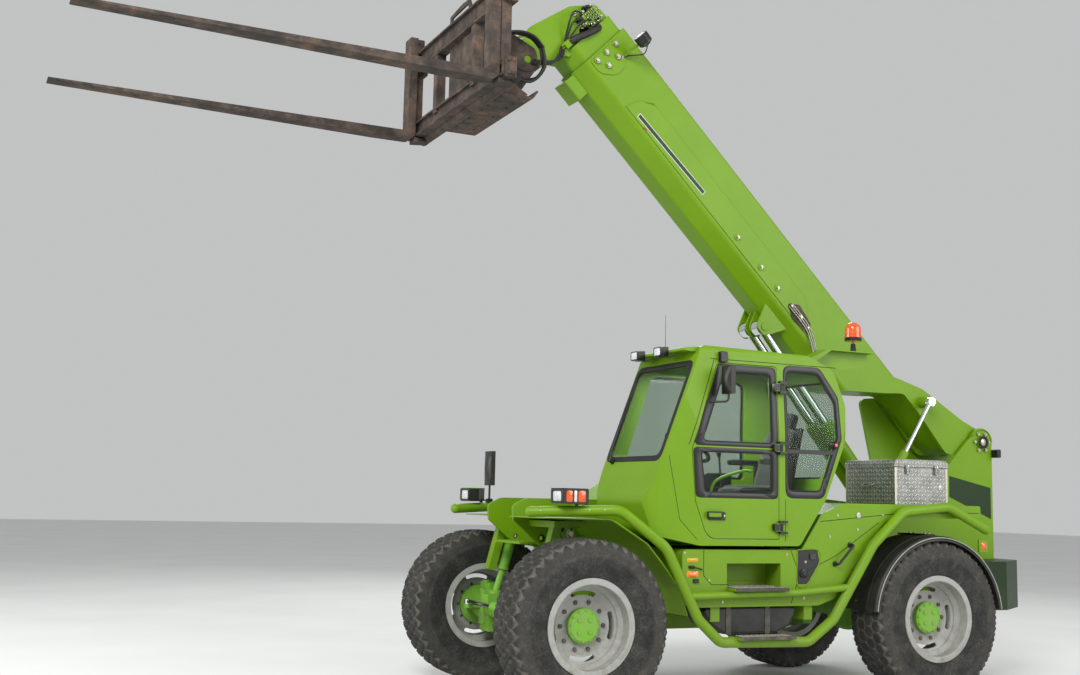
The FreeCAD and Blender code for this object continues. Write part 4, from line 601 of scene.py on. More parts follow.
def turned(name, profile, centre, axis, material, body="machine", sides=48, smooth=35.0):
    """Profile of (along, radius) pairs turned about an axis through centre. A radius of 0 is a pole, and
    a profile that ends where it began is a ring without end caps."""
    profile = np.asarray(profile, dtype=float)
    axis = np.asarray(axis, dtype=float) / np.linalg.norm(axis)
    guide = np.array([1.0, 0, 0]) if abs(axis[0]) < 0.9 else np.array([0, 1.0, 0])
    u = np.cross(axis, guide)
    u /= np.linalg.norm(u)
    v = np.cross(axis, u)
    a = np.linspace(0, 2 * np.pi, sides, endpoint=False)
    ring = np.cos(a)[:, None] * u + np.sin(a)[:, None] * v
    points = (np.asarray(centre)[None, None, :] + profile[:, 0][:, None, None] * axis
              + profile[:, 1][:, None, None] * ring[None, :, :])
    rows = len(profile)
    faces = grid_faces(rows, sides, loop_columns=True)
    loop = np.allclose(profile[0], profile[-1])
    if profile[0, 1] > 0 and not loop:
        faces.append(list(range(sides))[::-1])
    if profile[-1, 1] > 0 and not loop:
        faces.append([(rows - 1) * sides + k for k in range(sides)])
    piece = make(name, points, faces, material, body, smooth)
    tidy(piece)
    return piece


def tidy(piece):
    """Merges doubled points, such as a pole's, and turns all faces outwards."""
    import bmesh
    work = bmesh.new()
    work.from_mesh(piece.data)
    bmesh.ops.remove_doubles(work, verts=work.verts, dist=1e-6)
    bmesh.ops.recalc_face_normals(work, faces=work.faces)
    work.to_mesh(piece.data)
    work.free()


def slab(name, outline, base, u, v, thickness, material, body="machine", bevel=0.0, smooth=30.0):
    """Outline of (a, b) pairs on the plane base + a u + b v, carried along u x v by thickness and closed."""
    outline = np.asarray(outline, dtype=float)
    u, v = np.asarray(u, dtype=float), np.asarray(v, dtype=float)
    flat = np.asarray(base, dtype=float) + outline[:, :1] * u + outline[:, 1:2] * v
    points = np.stack([flat, flat + np.cross(u, v) * thickness])
    count = len(outline)
    faces = grid_faces(2, count, loop_columns=True)
    faces += [list(range(count))[::-1], [count + k for k in range(count)]]
    piece = make(name, points, faces, material, body, smooth, bevel)
    tidy(piece)
    return piece


def round_corners(outline, radius, steps=5):
    """Each corner of an outline is replaced by an arc that touches both its sides."""
    p = np.asarray(outline, dtype=float)
    radius = np.broadcast_to(np.asarray(radius, dtype=float), (len(p),))
    out = []
    for k in range(len(p)):
        before, after = p[k - 1] - p[k], p[(k + 1) % len(p)] - p[k]
        lb, la = np.linalg.norm(before), np.linalg.norm(after)
        before, after = before / lb, after / la
        half = math.acos(float(np.clip(before.dot(after), -1, 1))) / 2
        if radius[k] <= 0 or half > 1.55:
            out.append(p[k][None, :])
            continue
        reach = min(radius[k] / math.tan(half), 0.49 * lb, 0.49 * la)
        t = np.linspace(0, 1, steps)[:, None]
        a, b = p[k] + before * reach, p[k] + after * reach
        out.append((1 - t) ** 2 * a + 2 * t * (1 - t) * p[k] + t ** 2 * b)
    return np.vstack(out)


def repeated(name, shape, places, material, body="machine", smooth=30.0):
    """One small shape (points, faces) copied to many places, each a 4 by 4 matrix."""
    points, faces = shape
    points = np.asarray(points, dtype=float)
    places = np.asarray(places, dtype=float)
    full = np.einsum("kij,pj->kpi", places[:, :3, :3], points) + places[:, None, :3, 3]
    all_faces = [[i + k * len(points) for i in face] for k in range(len(places)) for face in faces]
    return make(name, full, all_faces, material, body, smooth)


def facing(direction, place, spin=0.0):
    """4 by 4 matrix that turns +Z to a direction and moves the shape to a place."""
    turn = Vector(direction).to_track_quat("Z", "Y").to_matrix().to_4x4() @ Matrix.Rotation(spin, 4, "Z")
    return np.array(Matrix.Translation(Vector(place)) @ turn)


def hexagon_bolt(across, height, washer=True):
    """Hexagon head with a chamfered top on a round washer: rings of 6 and 12 points."""
    r = across / math.sqrt(3)
    a = np.arange(12) * np.pi / 6
    hexagon = np.where(np.arange(12) % 2 == 0, r, r * math.cos(np.pi / 6))
    rings = []
    if washer:
        rings += [(np.full(12, r * 1.35), 0.0), (np.full(12, r * 1.35), height * 0.18)]
    rings += [(hexagon, height * 0.18 if washer else 0.0), (hexagon, height * 0.86),
              (np.full(12, r * 0.8), height)]
    points = np.concatenate([np.stack([q * np.cos(a), q * np.sin(a), np.full(12, z)], -1) for q, z in rings])
    faces = grid_faces(len(rings), 12, loop_columns=True)
    faces += [list(range(12))[::-1], [(len(rings) - 1) * 12 + k for k in range(12)]]
    return points, faces


bolt_m16 = hexagon_bolt(0.024, 0.012)
print("a bolt has", len(bolt_m16[1]), "faces")

# %% [markdown]
# The tyres are wide industrial ones: four staggered rows of six-sided blocks, 95 mm long, with
# grooves 18 mm deep full of grey clay. A tyre is a profile turned about its axle, so its surface
# is a grid of angle by profile place. The tread is one more function on that grid: lay the blocks'
# centres out as a staggered lattice on the unrolled tread, take for every grid point the distances
# to its two nearest centres, and press the surface down where they are nearly equal, because that
# is where two blocks meet. The same number is kept as an attribute, so the clay knows the grooves.

# %% Tyre profile and tread
TYRE_RADIUS = 0.637
GROOVE_DEPTH = 0.018
BLOCKS_ROUND = 42
ROW_PITCH = 0.086


def tyre_profile():
    """(across, radius) from the outer bead over the crown to the inner bead, 8 mm apart on the tread."""
    side = np.array([(0.1655, 0.322), (0.1660, 0.350), (0.1700, 0.362), (0.1790, 0.385), (0.1880, 0.415),
                     (0.1950, 0.450), (0.1985, 0.490), (0.1992, 0.520), (0.1975, 0.524), (0.1992, 0.530),
                     (0.1980, 0.552), (0.1950, 0.572), (0.1915, 0.588), (0.1870, 0.602), (0.1820, 0.614),
                     (0.1770, 0.624), (0.1720, 0.631)])
    across = np.linspace(0.166, 0.0, 22)
    crown = np.stack([across, TYRE_RADIUS - 0.004 * (across / 0.172) ** 2], -1)
    half = np.vstack([side, crown])
    return np.vstack([half, half[-2::-1] * (-1, 1)])


def block_gap(arc, across):
    """Half the difference of the distances to the two nearest block centres: 0 in a groove's middle."""
    pitch = 2 * math.pi * TYRE_RADIUS / BLOCKS_ROUND
    best = np.full(arc.shape, 9.0)
    second = np.full(arc.shape, 9.0)
    for row in range(-3, 3):
        middle = (row + 0.5) * ROW_PITCH
        shift = 0.5 * pitch * (row % 2)
        along = (arc - shift + pitch / 2) % pitch - pitch / 2
        for step in (-1, 0, 1):
            d = np.hypot(along + step * pitch, (across - middle))
            second = np.minimum(second, np.maximum(best, d))
            best = np.minimum(best, d)
    return (second - best) / 2


def dressed_tyre(name, centre, steps=504):
    """Point = centre + across * Y + (radius - depth) * (cos a, 0, sin a)."""
    profile = tyre_profile()
    angle = np.linspace(0, 2 * np.pi, steps, endpoint=False)
    a, p = np.meshgrid(angle, np.arange(len(profile)), indexing="ij")
    across, radius = profile[p, 0], profile[p, 1]
    gap = block_gap(a * TYRE_RADIUS, across)
    groove = np.clip((0.0105 - gap) / 0.005, 0, 1)
    groove = groove * groove * (3 - 2 * groove)
    reach = np.clip((radius - 0.585) / 0.040, 0, 1)
    depth = GROOVE_DEPTH * groove * reach
    r = radius - depth
    points = np.stack([r * np.cos(a), across, r * np.sin(a)], -1) + np.asarray(centre)
    columns = len(profile)
    piece = make(name, points, grid_faces(steps, columns, loop_rows=True), treaded_rubber,
                 "wheel_" + name[-2:], smooth=40)
    clay = piece.data.attributes.new("clay", "FLOAT", "POINT")
    clay.data.foreach_set("value", np.clip(groove * reach + 0.20 * (1 - reach) * (radius > 0.5), 0,
                                           1).ravel().astype(np.float32))
    piece.data.flip_normals()
    closing = piece.modifiers.new("wall", "SOLIDIFY")
    closing.thickness = 0.012
    closing.offset = -1.0
    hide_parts("tyre_" + name[-2:])
    return piece


WHEELS = {"fl": spot(3.235, 0.998, 0.637), "fr": spot(3.235, -0.998, 0.637),
          "rl": spot(0, 0.998, 0.637), "rr": spot(0, -0.998, 0.637)}
for corner, centre in WHEELS.items():
    tyre = dressed_tyre("tread_" + corner, centre)
print("tyre faces", len(tyre.data.polygons))

# %% [markdown]
# Ten nuts hold each rim, in a circle between the hub and the dished disc, and the hub's cover shows
# four plugs and a ring of small screws. They are copies of one bolt of a few dozen faces, turned to
# look outwards along the axle.

# %% Wheel nuts and hub screws
def circle_places(centre, outward, radius, count, offset, first=0.0):
    """Matrices round a circle square to outward, each looking along it."""
    out = np.array([0.0, outward, 0.0])
    angles = first + np.arange(count) * 2 * np.pi / count
    return [facing(out, np.asarray(centre) + radius * np.array([math.cos(t), 0, math.sin(t)]) + out * offset)
            for t in angles]


wheel_nut = hexagon_bolt(0.030, 0.022)
hub_screw = hexagon_bolt(0.013, 0.007)
for corner, centre in WHEELS.items():
    outward = 1.0 if centre[1] > 0 else -1.0
    body = "wheel_" + corner
    nuts = circle_places(centre, outward, 0.176, 10, -0.004)
    repeated("wheel_nuts_" + corner, wheel_nut, nuts, charcoal, body)
    repeated("hub_screws_" + corner, hub_screw, circle_places(centre, outward, 0.112, 12, 0.055, 0.1),
             lime_axle, body)
print("nuts on each wheel", len(nuts))

# %% [markdown]
# Most of what is left lies flat on a flank: plates, marks, seals and covers. One builder cuts a
# plate from its outline in the upright plane of the picture, (x, z) from the rear axle, or (s, n)
# along and square to the boom. A second makes a rounded block from two corners, and a third turns
# a small fitting, so that a valve block is only a table.

# %% Plates, blocks and fittings
def flank_plate(name, outline, y, thickness, material, body="machine", corner=0.0, bevel=0.0, boom=False,
                side=1):
    """Plate from the plane y outwards, to the left for side 1 and to the right for side -1."""
    outline = np.asarray(outline, dtype=float)
    if corner:
        outline = round_corners(outline, corner)
    base = boom_spot(0, y, 0) if boom else spot(0, y, 0)
    along, up = (ALONG, ACROSS) if boom else (FRONT, UP)
    if side > 0:
        return slab(name, outline[:, ::-1], base, up, along, thickness, material, body, bevel=bevel)
    return slab(name, outline, base, along, up, thickness, material, body, bevel=bevel)


def block(name, low, high, material, body="machine", corner=0.006, bevel=0.003, boom=False):
    """Rounded block between two opposite corners (x, y, z) or (s, y, n)."""
    outline = [(low[0], low[2]), (high[0], low[2]), (high[0], high[2]), (low[0], high[2])]
    return flank_plate(name, outline, low[1], high[1] - low[1], material, body, corner=corner, bevel=bevel,
                       boom=boom)


def stub_shape(steps, sides=20):
    """Turned fitting along +Z from (height, radius) steps, closed at both ends."""
    a = np.arange(sides) * 2 * np.pi / sides
    points = np.concatenate([np.stack([r * np.cos(a), r * np.sin(a), np.full(sides, h)], -1) for h,
                             r in steps])
    faces = grid_faces(len(steps), sides, loop_columns=True)
    faces += [list(range(sides))[::-1], [(len(steps) - 1) * sides + k for k in range(sides)]]
    return points, faces


def flat_bar(name, corners, width, thickness, material, body="machine", boom=False, side=1, y=0.0):
    """Straight strip between two corners of the flank plane."""
    (a0, b0), (a1, b1) = corners
    d = np.array([a1 - a0, b1 - b0])
    d = d / np.linalg.norm(d)
    w = np.array([-d[1], d[0]]) * width / 2
    outline = [np.array([a0, b0]) - w, np.array([a1, b1]) - w, np.array([a1, b1]) + w, np.array([a0, b0]) + w]
    return flank_plate(name, outline, y, thickness, material, body, boom=boom, side=side)


BOOM_LEFT, BOOM_RIGHT = 0.070, -0.370
print("left flank of the boom at y", BOOM_LEFT)

# %% [markdown]
# The long fixed section of the boom is one folded and welded plate box. Its flanks carry a
# stiffening plate with a weld along its edge, four covers over the inner slide pads, and a plain
# stripe with pale borders. All of these are mirrored on the right flank, which a telehandler has
# alike. The weld is a bead 7 mm wide whose radius waves every 12 mm, as a hand-laid seam does.

# %% Stripe, welds and covers of the outer boom


def weld(name, corners, radius, material, body="machine"):
    """Tube whose radius is r (1 + 0.16 sin(2 pi length / 12 mm)) along straight runs."""
    path = [np.asarray(corners[0], dtype=float)]
    for a, b in zip(corners[:-1], corners[1:]):
        a, b = np.asarray(a, dtype=float), np.asarray(b, dtype=float)
        count = max(int(np.linalg.norm(b - a) / 0.006), 1)
        path += [a + (b - a) * k / count for k in range(1, count + 1)]
    path = np.array(path)
    length = np.concatenate([[0], np.cumsum(np.linalg.norm(np.diff(path, axis=0), axis=1))])
    return tube(name, path, radius * (1 + 0.16 * np.sin(2 * np.pi * length / 0.012)), material, body, sides=8)


cover_screw = hexagon_bolt(0.020, 0.010)
pad_nut = hexagon_bolt(0.030, 0.014)
for side, face in ((1, BOOM_LEFT), (-1, BOOM_RIGHT)):
    tag = hand(side)
    plate_face = face + side * 0.008
    flat_bar("stripe_border_" + tag, ((3.700, -0.7055), (4.612, -0.7345)), 0.046, 0.0010, white_film, "boom",
             boom=True, side=side, y=plate_face)
    flat_bar("stripe_core_" + tag, ((3.706, -0.7057), (4.606, -0.7343)), 0.034, 0.0016, forest, "boom",
             boom=True, side=side, y=plate_face)
    edge = [(4.735, -0.775), (4.695, -0.640), (4.590, -0.541), (2.345, -0.541), (2.252, -0.592),
            (2.075, -0.762)]
    weld("doubler_weld_" + tag, [boom_spot(s, face + side * 0.003, n) for s, n in edge], 0.0055, lime, "boom")
    out = np.array([0.0, side, 0.0])
    places = [facing(out, boom_spot(s, face + side * 0.024, -0.715)) for s in (2.243, 2.594, 2.846, 3.197)]
    repeated("cover_screws_" + tag, cover_screw, places, zinc, "boom")
    rows = ((5.200, -0.480), (5.200, -0.605), (5.200, -0.730), (5.105, -0.540), (5.105, -0.670))
    places = [facing(out, boom_spot(s, face + side * 0.024, n)) for s, n in rows]
    repeated("mouth_plate_nuts_" + tag, pad_nut, places, zinc, "boom")
flat_bar("red_mark", ((4.462, -0.768), (4.505, -0.775)), 0.016, 0.0012, red_film, "boom", boom=True, side=1,
         y=0.078)

# %% [markdown]
# Near the lugs of the lift cylinders a worn cover plate hides where pipes and wires cross into the
# boom: paint gone to bare, rusty steel, two screws, and three steel pipes that run down from it.
# At the head a work lamp stands out on its arm: a black drum with a ribbed glass and a round bezel.

# %% Crossing plate, pipes and boom lamp
flank_plate("crossing_plate", [(2.425, -0.730), (2.330, -0.640), (2.130, -0.672), (2.060, -0.770),
                               (2.300, -0.790)], 0.0785, 0.004, brown_steel, "boom", corner=0.02, bevel=0.001,
                               boom=True)
for k, n in enumerate((-0.700, -0.722, -0.744)):
    path = smooth_path([boom_spot(s, 0.0905, n + d) for s,
                        d in ((2.40, 0.0), (2.25, 0.0), (2.12, -0.01), (2.02, -0.05), (1.93, -0.10))], 8)
    tube(f"crossing_pipe_{k}", path, 0.006, zinc, "boom", sides=12)
repeated("crossing_screws", cover_screw, [facing(LEFT, boom_spot(s, 0.0825, n)) for s,
                                          n in ((2.38, -0.71), (2.12, -0.72))], zinc, "boom")
lamp_centre = boom_spot(5.120, 0.260, -0.345)
turned("boom_lamp_lens", [(-0.004, 0.0565), (0.004, 0.0565), (0.010, 0.050), (0.014, 0.030), (0.015, 0.0)],
       lamp_centre, ALONG, clear_lens, "boom")
turned("boom_lamp_bezel", [(-0.030, 0.0625), (-0.030, 0.0660), (0.006, 0.0660), (0.011, 0.0610),
                           (0.006, 0.0570), (-0.004, 0.0570)], lamp_centre, ALONG, trim_plastic, "boom")
turned("boom_lamp_shell", [(-0.100, 0.0), (-0.098, 0.020), (-0.086, 0.048), (-0.072, 0.0632),
                           (-0.040, 0.0650), (-0.028, 0.0640)], lamp_centre, ALONG, trim_plastic, "boom")
tube("boom_lamp_cable", smooth_path([boom_spot(5.02, 0.255, -0.345), boom_spot(4.985, 0.20, -0.39),
                                     boom_spot(5.04, 0.12, -0.45),
                                     boom_spot(5.075, 0.078, -0.50)], 10), 0.005, hose_rubber, "boom",
                                     sides=10)
bracket_bolt = hexagon_bolt(0.024, 0.012)
repeated("top_bracket_bolts", bracket_bolt, [facing(ACROSS, boom_spot(s, y, -0.268)) for s in (5.10,
        5.21) for y in (-0.28, -0.02)], zinc, "boom")
repeated("lamp_foot_bolts", cover_screw, [facing(LEFT, boom_spot(s, 0.078, n)) for s,
                                          n in ((5.075, -0.435), (5.075, -0.500))], zinc, "boom")

# %% [markdown]
# The pivot pin of the boom sits in the tower between two round caps with six bolts each. A black
# ring, a grease plate, lies round a grey centre. The rounded head of the tower has a rim of bar
# welded along its curve.

# %% Tower pivot
for side, face in ((1, 0.139), (-1, -0.439)):
    tag = hand(side)
    centre = np.array(PIVOT) * (1, 0, 1) + np.array([0.0, face, 0.0])
    turned("pivot_ring_" + tag, [(-0.004, 0.058), (0.010, 0.060), (0.014, 0.052), (0.012, 0.040),
                                 (0.004, 0.036), (-0.004, 0.036)], centre, (0, side, 0), seal_rubber)
    turned("pivot_end_" + tag, [(-0.004, 0.037), (0.008, 0.034), (0.014, 0.020), (0.015, 0.0)], centre,
           (0, side, 0), zinc)
    bolts = [facing((0, side, 0), np.array(PIVOT) * (1, 0,
                                                     1) + np.array([0.088 * math.cos(t), face - side * 0.012,
                                                             0.088 * math.sin(t)]))
             for t in np.arange(6) * np.pi / 3]
    repeated("pivot_bolts_" + tag, hexagon_bolt(0.022, 0.012), bolts, zinc)
# Painted shade: a thin dark green sheet on each tower plate, under the tube, stands for the shade on that
# face. The right one copies the left.
flank_plate("tower_painted_shade_left", [(-1.120, 1.852), (-1.634, 1.750), (-1.634, 1.452), (-1.116, 1.655)], 0.1155,
            0.0012, forest)
flank_plate("tower_painted_shade_right", [(-1.120, 1.852), (-1.634, 1.750), (-1.634, 1.452), (-1.116, 1.655)], -0.4155,
            0.0012, forest, side=-1)
arc = np.linspace(math.radians(178), math.radians(28), 26)
rim_path = [spot(-1.530 + 0.128 * math.cos(t), 0.118, 2.185 + 0.128 * math.sin(t)) for t in arc]
tube("tower_rim_bar", rim_path, 0.0075, lime, sides=10)
for side in (1, -1):
    y = -0.15 + side * 0.30
    block("rear_work_lamp_" + hand(side), (-1.705, y - 0.045, 2.040),
          (-1.655, y + 0.045, 2.120), trim_plastic, corner=0.015, bevel=0.006)

# %% [markdown]
# The head of the sliding section is dressed in hydraulics. A valve block with screwed plugs and
# solenoids sits on its left cheek, a thick sleeve of hoses comes out of the slot, and a block with
# six unions, sprayed over in the body's lime, passes them on. Every fitting is one turned profile,
# listed in a table by its place, radius and length.

# %% Valves and hoses of the boom head
PLUGS = (  # s, n, radius, length, material
    (5.462, -0.412, 0.017, 0.085, zinc), (5.466, -0.470, 0.021, 0.060, trim_plastic),
    (5.458, -0.528, 0.015, 0.105, zinc), (5.580, -0.405, 0.014, 0.065, plate_aluminium),
    (5.598, -0.462, 0.020, 0.090, trim_plastic), (5.592, -0.522, 0.017, 0.070, zinc),
    (5.560, -0.585, 0.019, 0.080, trim_plastic), (5.500, -0.590, 0.015, 0.090, zinc),
    (5.520, -0.378, 0.013, 0.070, zinc), (5.625, -0.575, 0.014, 0.050, zinc),
)
for k, (s, n, radius, length, material) in enumerate(PLUGS):
    steps = [(0.0, radius * 1.25), (0.012, radius * 1.25), (0.013, radius), (length * 0.7, radius),
             (length * 0.72, radius * 0.78), (length * 0.96, radius * 0.74), (length, radius * 0.55)]
    start = 0.058 if 5.47 < s < 5.57 and -0.56 < n < -0.40 else 0.0
    turned(f"head_plug_{k}", [(0.0, 0.0)] + steps + [(length, 0.0)], boom_spot(s, start, n), LEFT, material,
           "boom_slide", sides=20)
repeated("valve_block_screws", hexagon_bolt(0.011, 0.006),
         [facing(LEFT, boom_spot(s, 0.060, n)) for s in (5.478, 5.562) for n in (-0.408, -0.552)], zinc,
         "boom_slide")
repeated("valve_port_nuts", hexagon_bolt(0.022, 0.008, False),
         [facing(LEFT, boom_spot(s, 0.070, n)) for s in (5.490, 5.520, 5.550) for n in (-0.440, -0.480,
                 -0.520)], zinc, "boom_slide")
sleeve = smooth_path([boom_spot(*p) for p in ((5.400, -0.12, -0.30), (5.405, -0.03, -0.42),
                                              (5.400, 0.045, -0.50), (5.425, 0.060, -0.62),
                                              (5.455, 0.052, -0.72), (5.468, 0.030, -0.790))], 10)
tube("head_hose_sleeve", sleeve, 0.030, hose_rubber, "boom_slide", sides=20)
for k, (start, middle, end) in enumerate((
        ((5.500, 0.075, -0.520), (5.535, 0.105, -0.640), (5.492, 0.040, -0.800)),
        ((5.555, 0.080, -0.590), (5.580, 0.100, -0.700), (5.498, 0.028, -0.815)),
        ((5.595, 0.060, -0.540), (5.640, 0.095, -0.640), (5.505, 0.022, -0.830)))):
    tube(f"head_line_{k}", smooth_path([boom_spot(*start), boom_spot(*middle), boom_spot(*end)], 12), 0.008,
         hose_rubber, "boom_slide", sides=12)
for k, y in enumerate((0.010, 0.026, 0.042)):
    for end, way in ((-0.799, 1), (-0.861, -1)):
        turned(f"union_{k}_{'a' if way > 0 else 'b'}",
               [(0, 0.0), (0, 0.010), (0.010, 0.010), (0.011, 0.0075), (0.030, 0.0075), (0.030, 0.0)],
               boom_spot(5.448 + 0.021 * k, y, end), ACROSS * way, lime, "boom_slide", sides=12)
for k, (s, d) in enumerate(((5.448, 0.0), (5.469, 0.018), (5.490, 0.036))):
    path = [(s, 0.020, -0.885), (s - 0.03, 0.030 + d / 2, -0.960), (5.440, 0.045, -1.040 - d),
            (5.490, 0.062, -1.130 - d), (5.560, 0.064, -1.205 - d)]
    tube(f"tilt_hose_{k}", smooth_path([boom_spot(*corner) for corner in path], 10), 0.010, hose_rubber,
         "boom_slide", sides=12)
repeated("tilt_pin_plate_bolts", hexagon_bolt(0.020, 0.010),
         [facing(LEFT, boom_spot(5.6 + 0.045 * math.cos(t), 0.001,
                                 -1.235 + 0.045 * math.sin(t))) for t in (0.6, 2.2, 3.8, 5.4)], zinc,
                                 "boom_slide")

# %% [markdown]
# Behind the carriage hangs what feeds its tools: a flat bundle of four hoses that comes over the
# pin, and three free loops below it. All of it moves with the carriage, so it rides on the tool.
# Each loop is a Catmull-Rom curve through five or six places read off the picture.

# %% Hose loops on the carriage
for k in range(4):
    y = 0.075 + 0.022 * k
    tube(f"carriage_hose_{k}", smooth_path([spot(3.880, y - 0.03, 5.250), spot(3.700, y, 5.330), spot(3.480,
            y, 5.400), spot(3.330, y, 5.385),
                                            spot(3.235, y, 5.300)], 12), 0.010, hose_rubber, "tool", sides=12)
LOOPS = (
    ((3.235, 5.300), (3.215, 5.160), (3.290, 5.040), (3.430, 5.020), (3.600, 5.080), (3.860, 5.060)),
    ((3.260, 5.300), (3.250, 5.200), (3.300, 5.110), (3.440, 5.075), (3.640, 5.150), (3.860, 5.180)),
    ((3.245, 5.295), (3.230, 5.130), (3.350, 4.985), (3.520, 4.985), (3.700, 5.010), (3.860, 4.980)),
)
for k, loop in enumerate(LOOPS):
    y = 0.078 + 0.032 * k
    path = smooth_path([spot(x, y + 0.01 * i, z) for i, (x, z) in enumerate(loop)], 10)
    tube(f"carriage_loop_{k}", path, (0.011, 0.009, 0.013)[k], hose_rubber, "tool", sides=14)
    turned(f"carriage_union_{k}", [(0, 0), (0, 0.015), (0.020, 0.015), (0.021, 0.011), (0.050, 0.011),
                                   (0.050, 0)], spot(3.855, y + 0.05, loop[-1][1]), FRONT, zinc, "tool",
                                   sides=14)
block("hose_junction", (3.885, 0.06, 4.94), (3.935, 0.24, 5.28), brown_steel, "tool", corner=0.01,
      bevel=0.003)

# %% [markdown]
# The carriage's plates are joined by thick hand-laid welds, and its stop blocks are bolted on. The
# forks hang over the upper beam by welded hooks and clip behind the lower one, and each hook's
# outline is drawn round the beam with a few millimetres of play.

# %% Hooks, welds and bolts of the carriage
HOOK = [(3.945, 5.508), (3.845, 5.508), (3.845, 5.428), (3.815, 5.428), (3.815, 5.545), (3.945, 5.562)]
CLIP = [(3.945, 4.722), (3.845, 4.722), (3.845, 4.772), (3.820, 4.772), (3.820, 4.692), (3.945, 4.680)]
for tag, middle in (("right", -0.15 - 0.935), ("left", -0.15 + 0.935)):
    flank_plate("fork_hook_" + tag, HOOK, middle - 0.070, 0.140, brown_steel, "tool", corner=0.008,
                bevel=0.004)
    flank_plate("fork_clip_" + tag, CLIP, middle - 0.070, 0.140, brown_steel, "tool", corner=0.006,
                bevel=0.004)
    block("fork_latch_" + tag, (3.860, middle - 0.02, 5.560), (3.925, middle + 0.02, 5.640), brown_steel,
          "tool", corner=0.01, bevel=0.004)
    for z in (4.745, 5.315):
        weld(f"fork_weld_{tag}_{z:.2f}".replace(".", "_"),
             [spot(3.941, middle - 0.078, z), spot(3.941, middle - 0.078, z + 0.14)], 0.006, brown_steel,
             "tool")
for side in (-1, 1):
    y = -0.15 + side * 0.17
    weld("cheek_weld_" + hand(side),
         [spot(3.858, y + side * 0.032, 4.76), spot(3.858, y + side * 0.032, 5.46)], 0.008, brown_steel,
         "tool")
stop_bolt = hexagon_bolt(0.026, 0.014)
stops = [facing((0, side, 0), spot(x, -0.15 + side * 1.072, z)) for side in (-1, 1) for x in (3.855,
        3.895) for z in (4.74, 4.85, 5.35, 5.48)]
repeated("stop_block_bolts", stop_bolt, stops, brown_steel, "tool")
for side in (-1, 1):
    end = spot(3.810, -0.15 + side * 1.000, 4.740)
    turned("cross_tube_cap_" + hand(side),
           [(-0.01, 0.0), (-0.01, 0.050), (0.010, 0.050), (0.016, 0.040), (0.017, 0.0)], end, (0, side, 0),
           seal_rubber, "tool", sides=32)
repeated("deck_rivets", hexagon_bolt(0.016, 0.006, False),
         [facing(DOWN, spot(x, y, 4.729)) for x in (3.56, 3.72) for y in np.linspace(-0.70, 0.40, 9)],
         brown_steel, "tool")
for side in (-1, 1):
    y = -0.15 + side * 0.6
    flank_plate("deck_gusset_" + hand(side),
                [(3.86, 4.752), (3.50, 4.752), (3.86, 4.950)], y - 0.006, 0.012, brown_steel, "tool",
                corner=0.01, bevel=0.002)

# %% [markdown]
# The cab's skin is nearly flat: its left wall stands at one Y, leans in above the windows' middle
# and tapers in towards the nose. Written as the smallest of those planes, it tells how far out any
# rubber or trim must lie. The windscreen leans back by one slope, and the rear wall bulges, which a
# short table gives.

# %% The cab's skin as functions
FRONT_AXLE = 3.235
CAB_LEFT_Y, CAB_RIGHT_Y = 1.134, 0.135


def left_wall(x, z, h=0.0):
    """Point of the left wall at (x, z), h outwards: y is the least of the wall, its lean and its taper."""
    lean = CAB_LEFT_Y - max(0.0, z - 2.10) * 0.0652
    taper = CAB_LEFT_Y - max(0.0, x - FRONT_AXLE + 0.935) * 0.1348
    return spot(x, min(lean, taper) + h, z)


def right_wall(x, z, h=0.0):
    """Point of the right wall: y leans in above the windows' middle by a third as much."""
    return spot(x, CAB_RIGHT_Y + max(0.0, z - 2.10) * 0.029 - h, z)


SLOPE = 0.3867
LEAN = math.hypot(1.0, SLOPE)


def front_wall(y, z, h=0.0):
    """Point of the windscreen's plane: x falls back by 0.3867 for each unit of height."""
    return spot(FRONT_AXLE - 0.605 - (z - 1.840) * SLOPE + h / LEAN, y, z + h * SLOPE / LEAN)


def rear_wall(y, z, h=0.0):
    """Point of the rear wall: x follows four corners of its profile."""
    x = np.interp(z, [1.592, 2.080, 2.360, 2.640], [-2.117, -2.321, -2.330, -2.225])
    return spot(FRONT_AXLE + x - h, y, z)


def polar(outline, centre, angles):
    """Distance from centre to a convex outline in each direction: where the ray crosses an edge."""
    p = np.asarray(outline, dtype=float) - centre
    q = np.roll(p, -1, axis=0)
    d = np.stack([np.cos(angles), np.sin(angles)], -1)[:, None, :]
    e = (q - p)[None]
    cross = d[..., 0] * e[..., 1] - d[..., 1] * e[..., 0]
    cross = np.where(np.abs(cross) < 1e-12, 1e-12, cross)
    t = (p[None, :, 0] * e[..., 1] - p[None, :, 1] * e[..., 0]) / cross
    s = (p[None, :, 0] * d[..., 1] - p[None, :, 1] * d[..., 0]) / cross
    good = (t > 0) & (s >= -1e-9) & (s <= 1 + 1e-9)
    return np.where(good, t, 0).max(axis=1)


def rectangle(a, b, half_a, half_b):
    """Outline of a rectangle from its middle and its half sizes."""
    return [(a - half_a, b - half_b), (a + half_a, b - half_b), (a + half_a, b + half_b),
            (a - half_a, b + half_b)]


def frame_band(name, outer, inner, wall, low, high, material, body="machine", corner=0.05, steps=120):
    """Band between two outlines on a wall, from low to high above it, with its edges rounded off."""
    outer, inner = round_corners(outer, corner), round_corners(inner, corner * 0.8)
    centre = np.asarray(inner).mean(axis=0)
    angles = np.linspace(0, 2 * np.pi, steps, endpoint=False)
    ro, ri = polar(outer, centre, angles), polar(inner, centre, angles)
    slim = np.minimum((ro - ri) * 0.25, 0.004)
    section = ((ro, low), (ro, high - 0.002), (ro - slim, high), (ri + slim, high), (ri, high - 0.002),
               (ri, low))
    points = [[wall(centre[0] + r[k] * math.cos(a), centre[1] + r[k] * math.sin(a), h) for r, h in section]
              for k, a in enumerate(angles)]
    piece = make(name, points, grid_faces(steps, 6, loop_rows=True, loop_columns=True), material, body,
                 smooth=40)
    tidy(piece)
    return piece


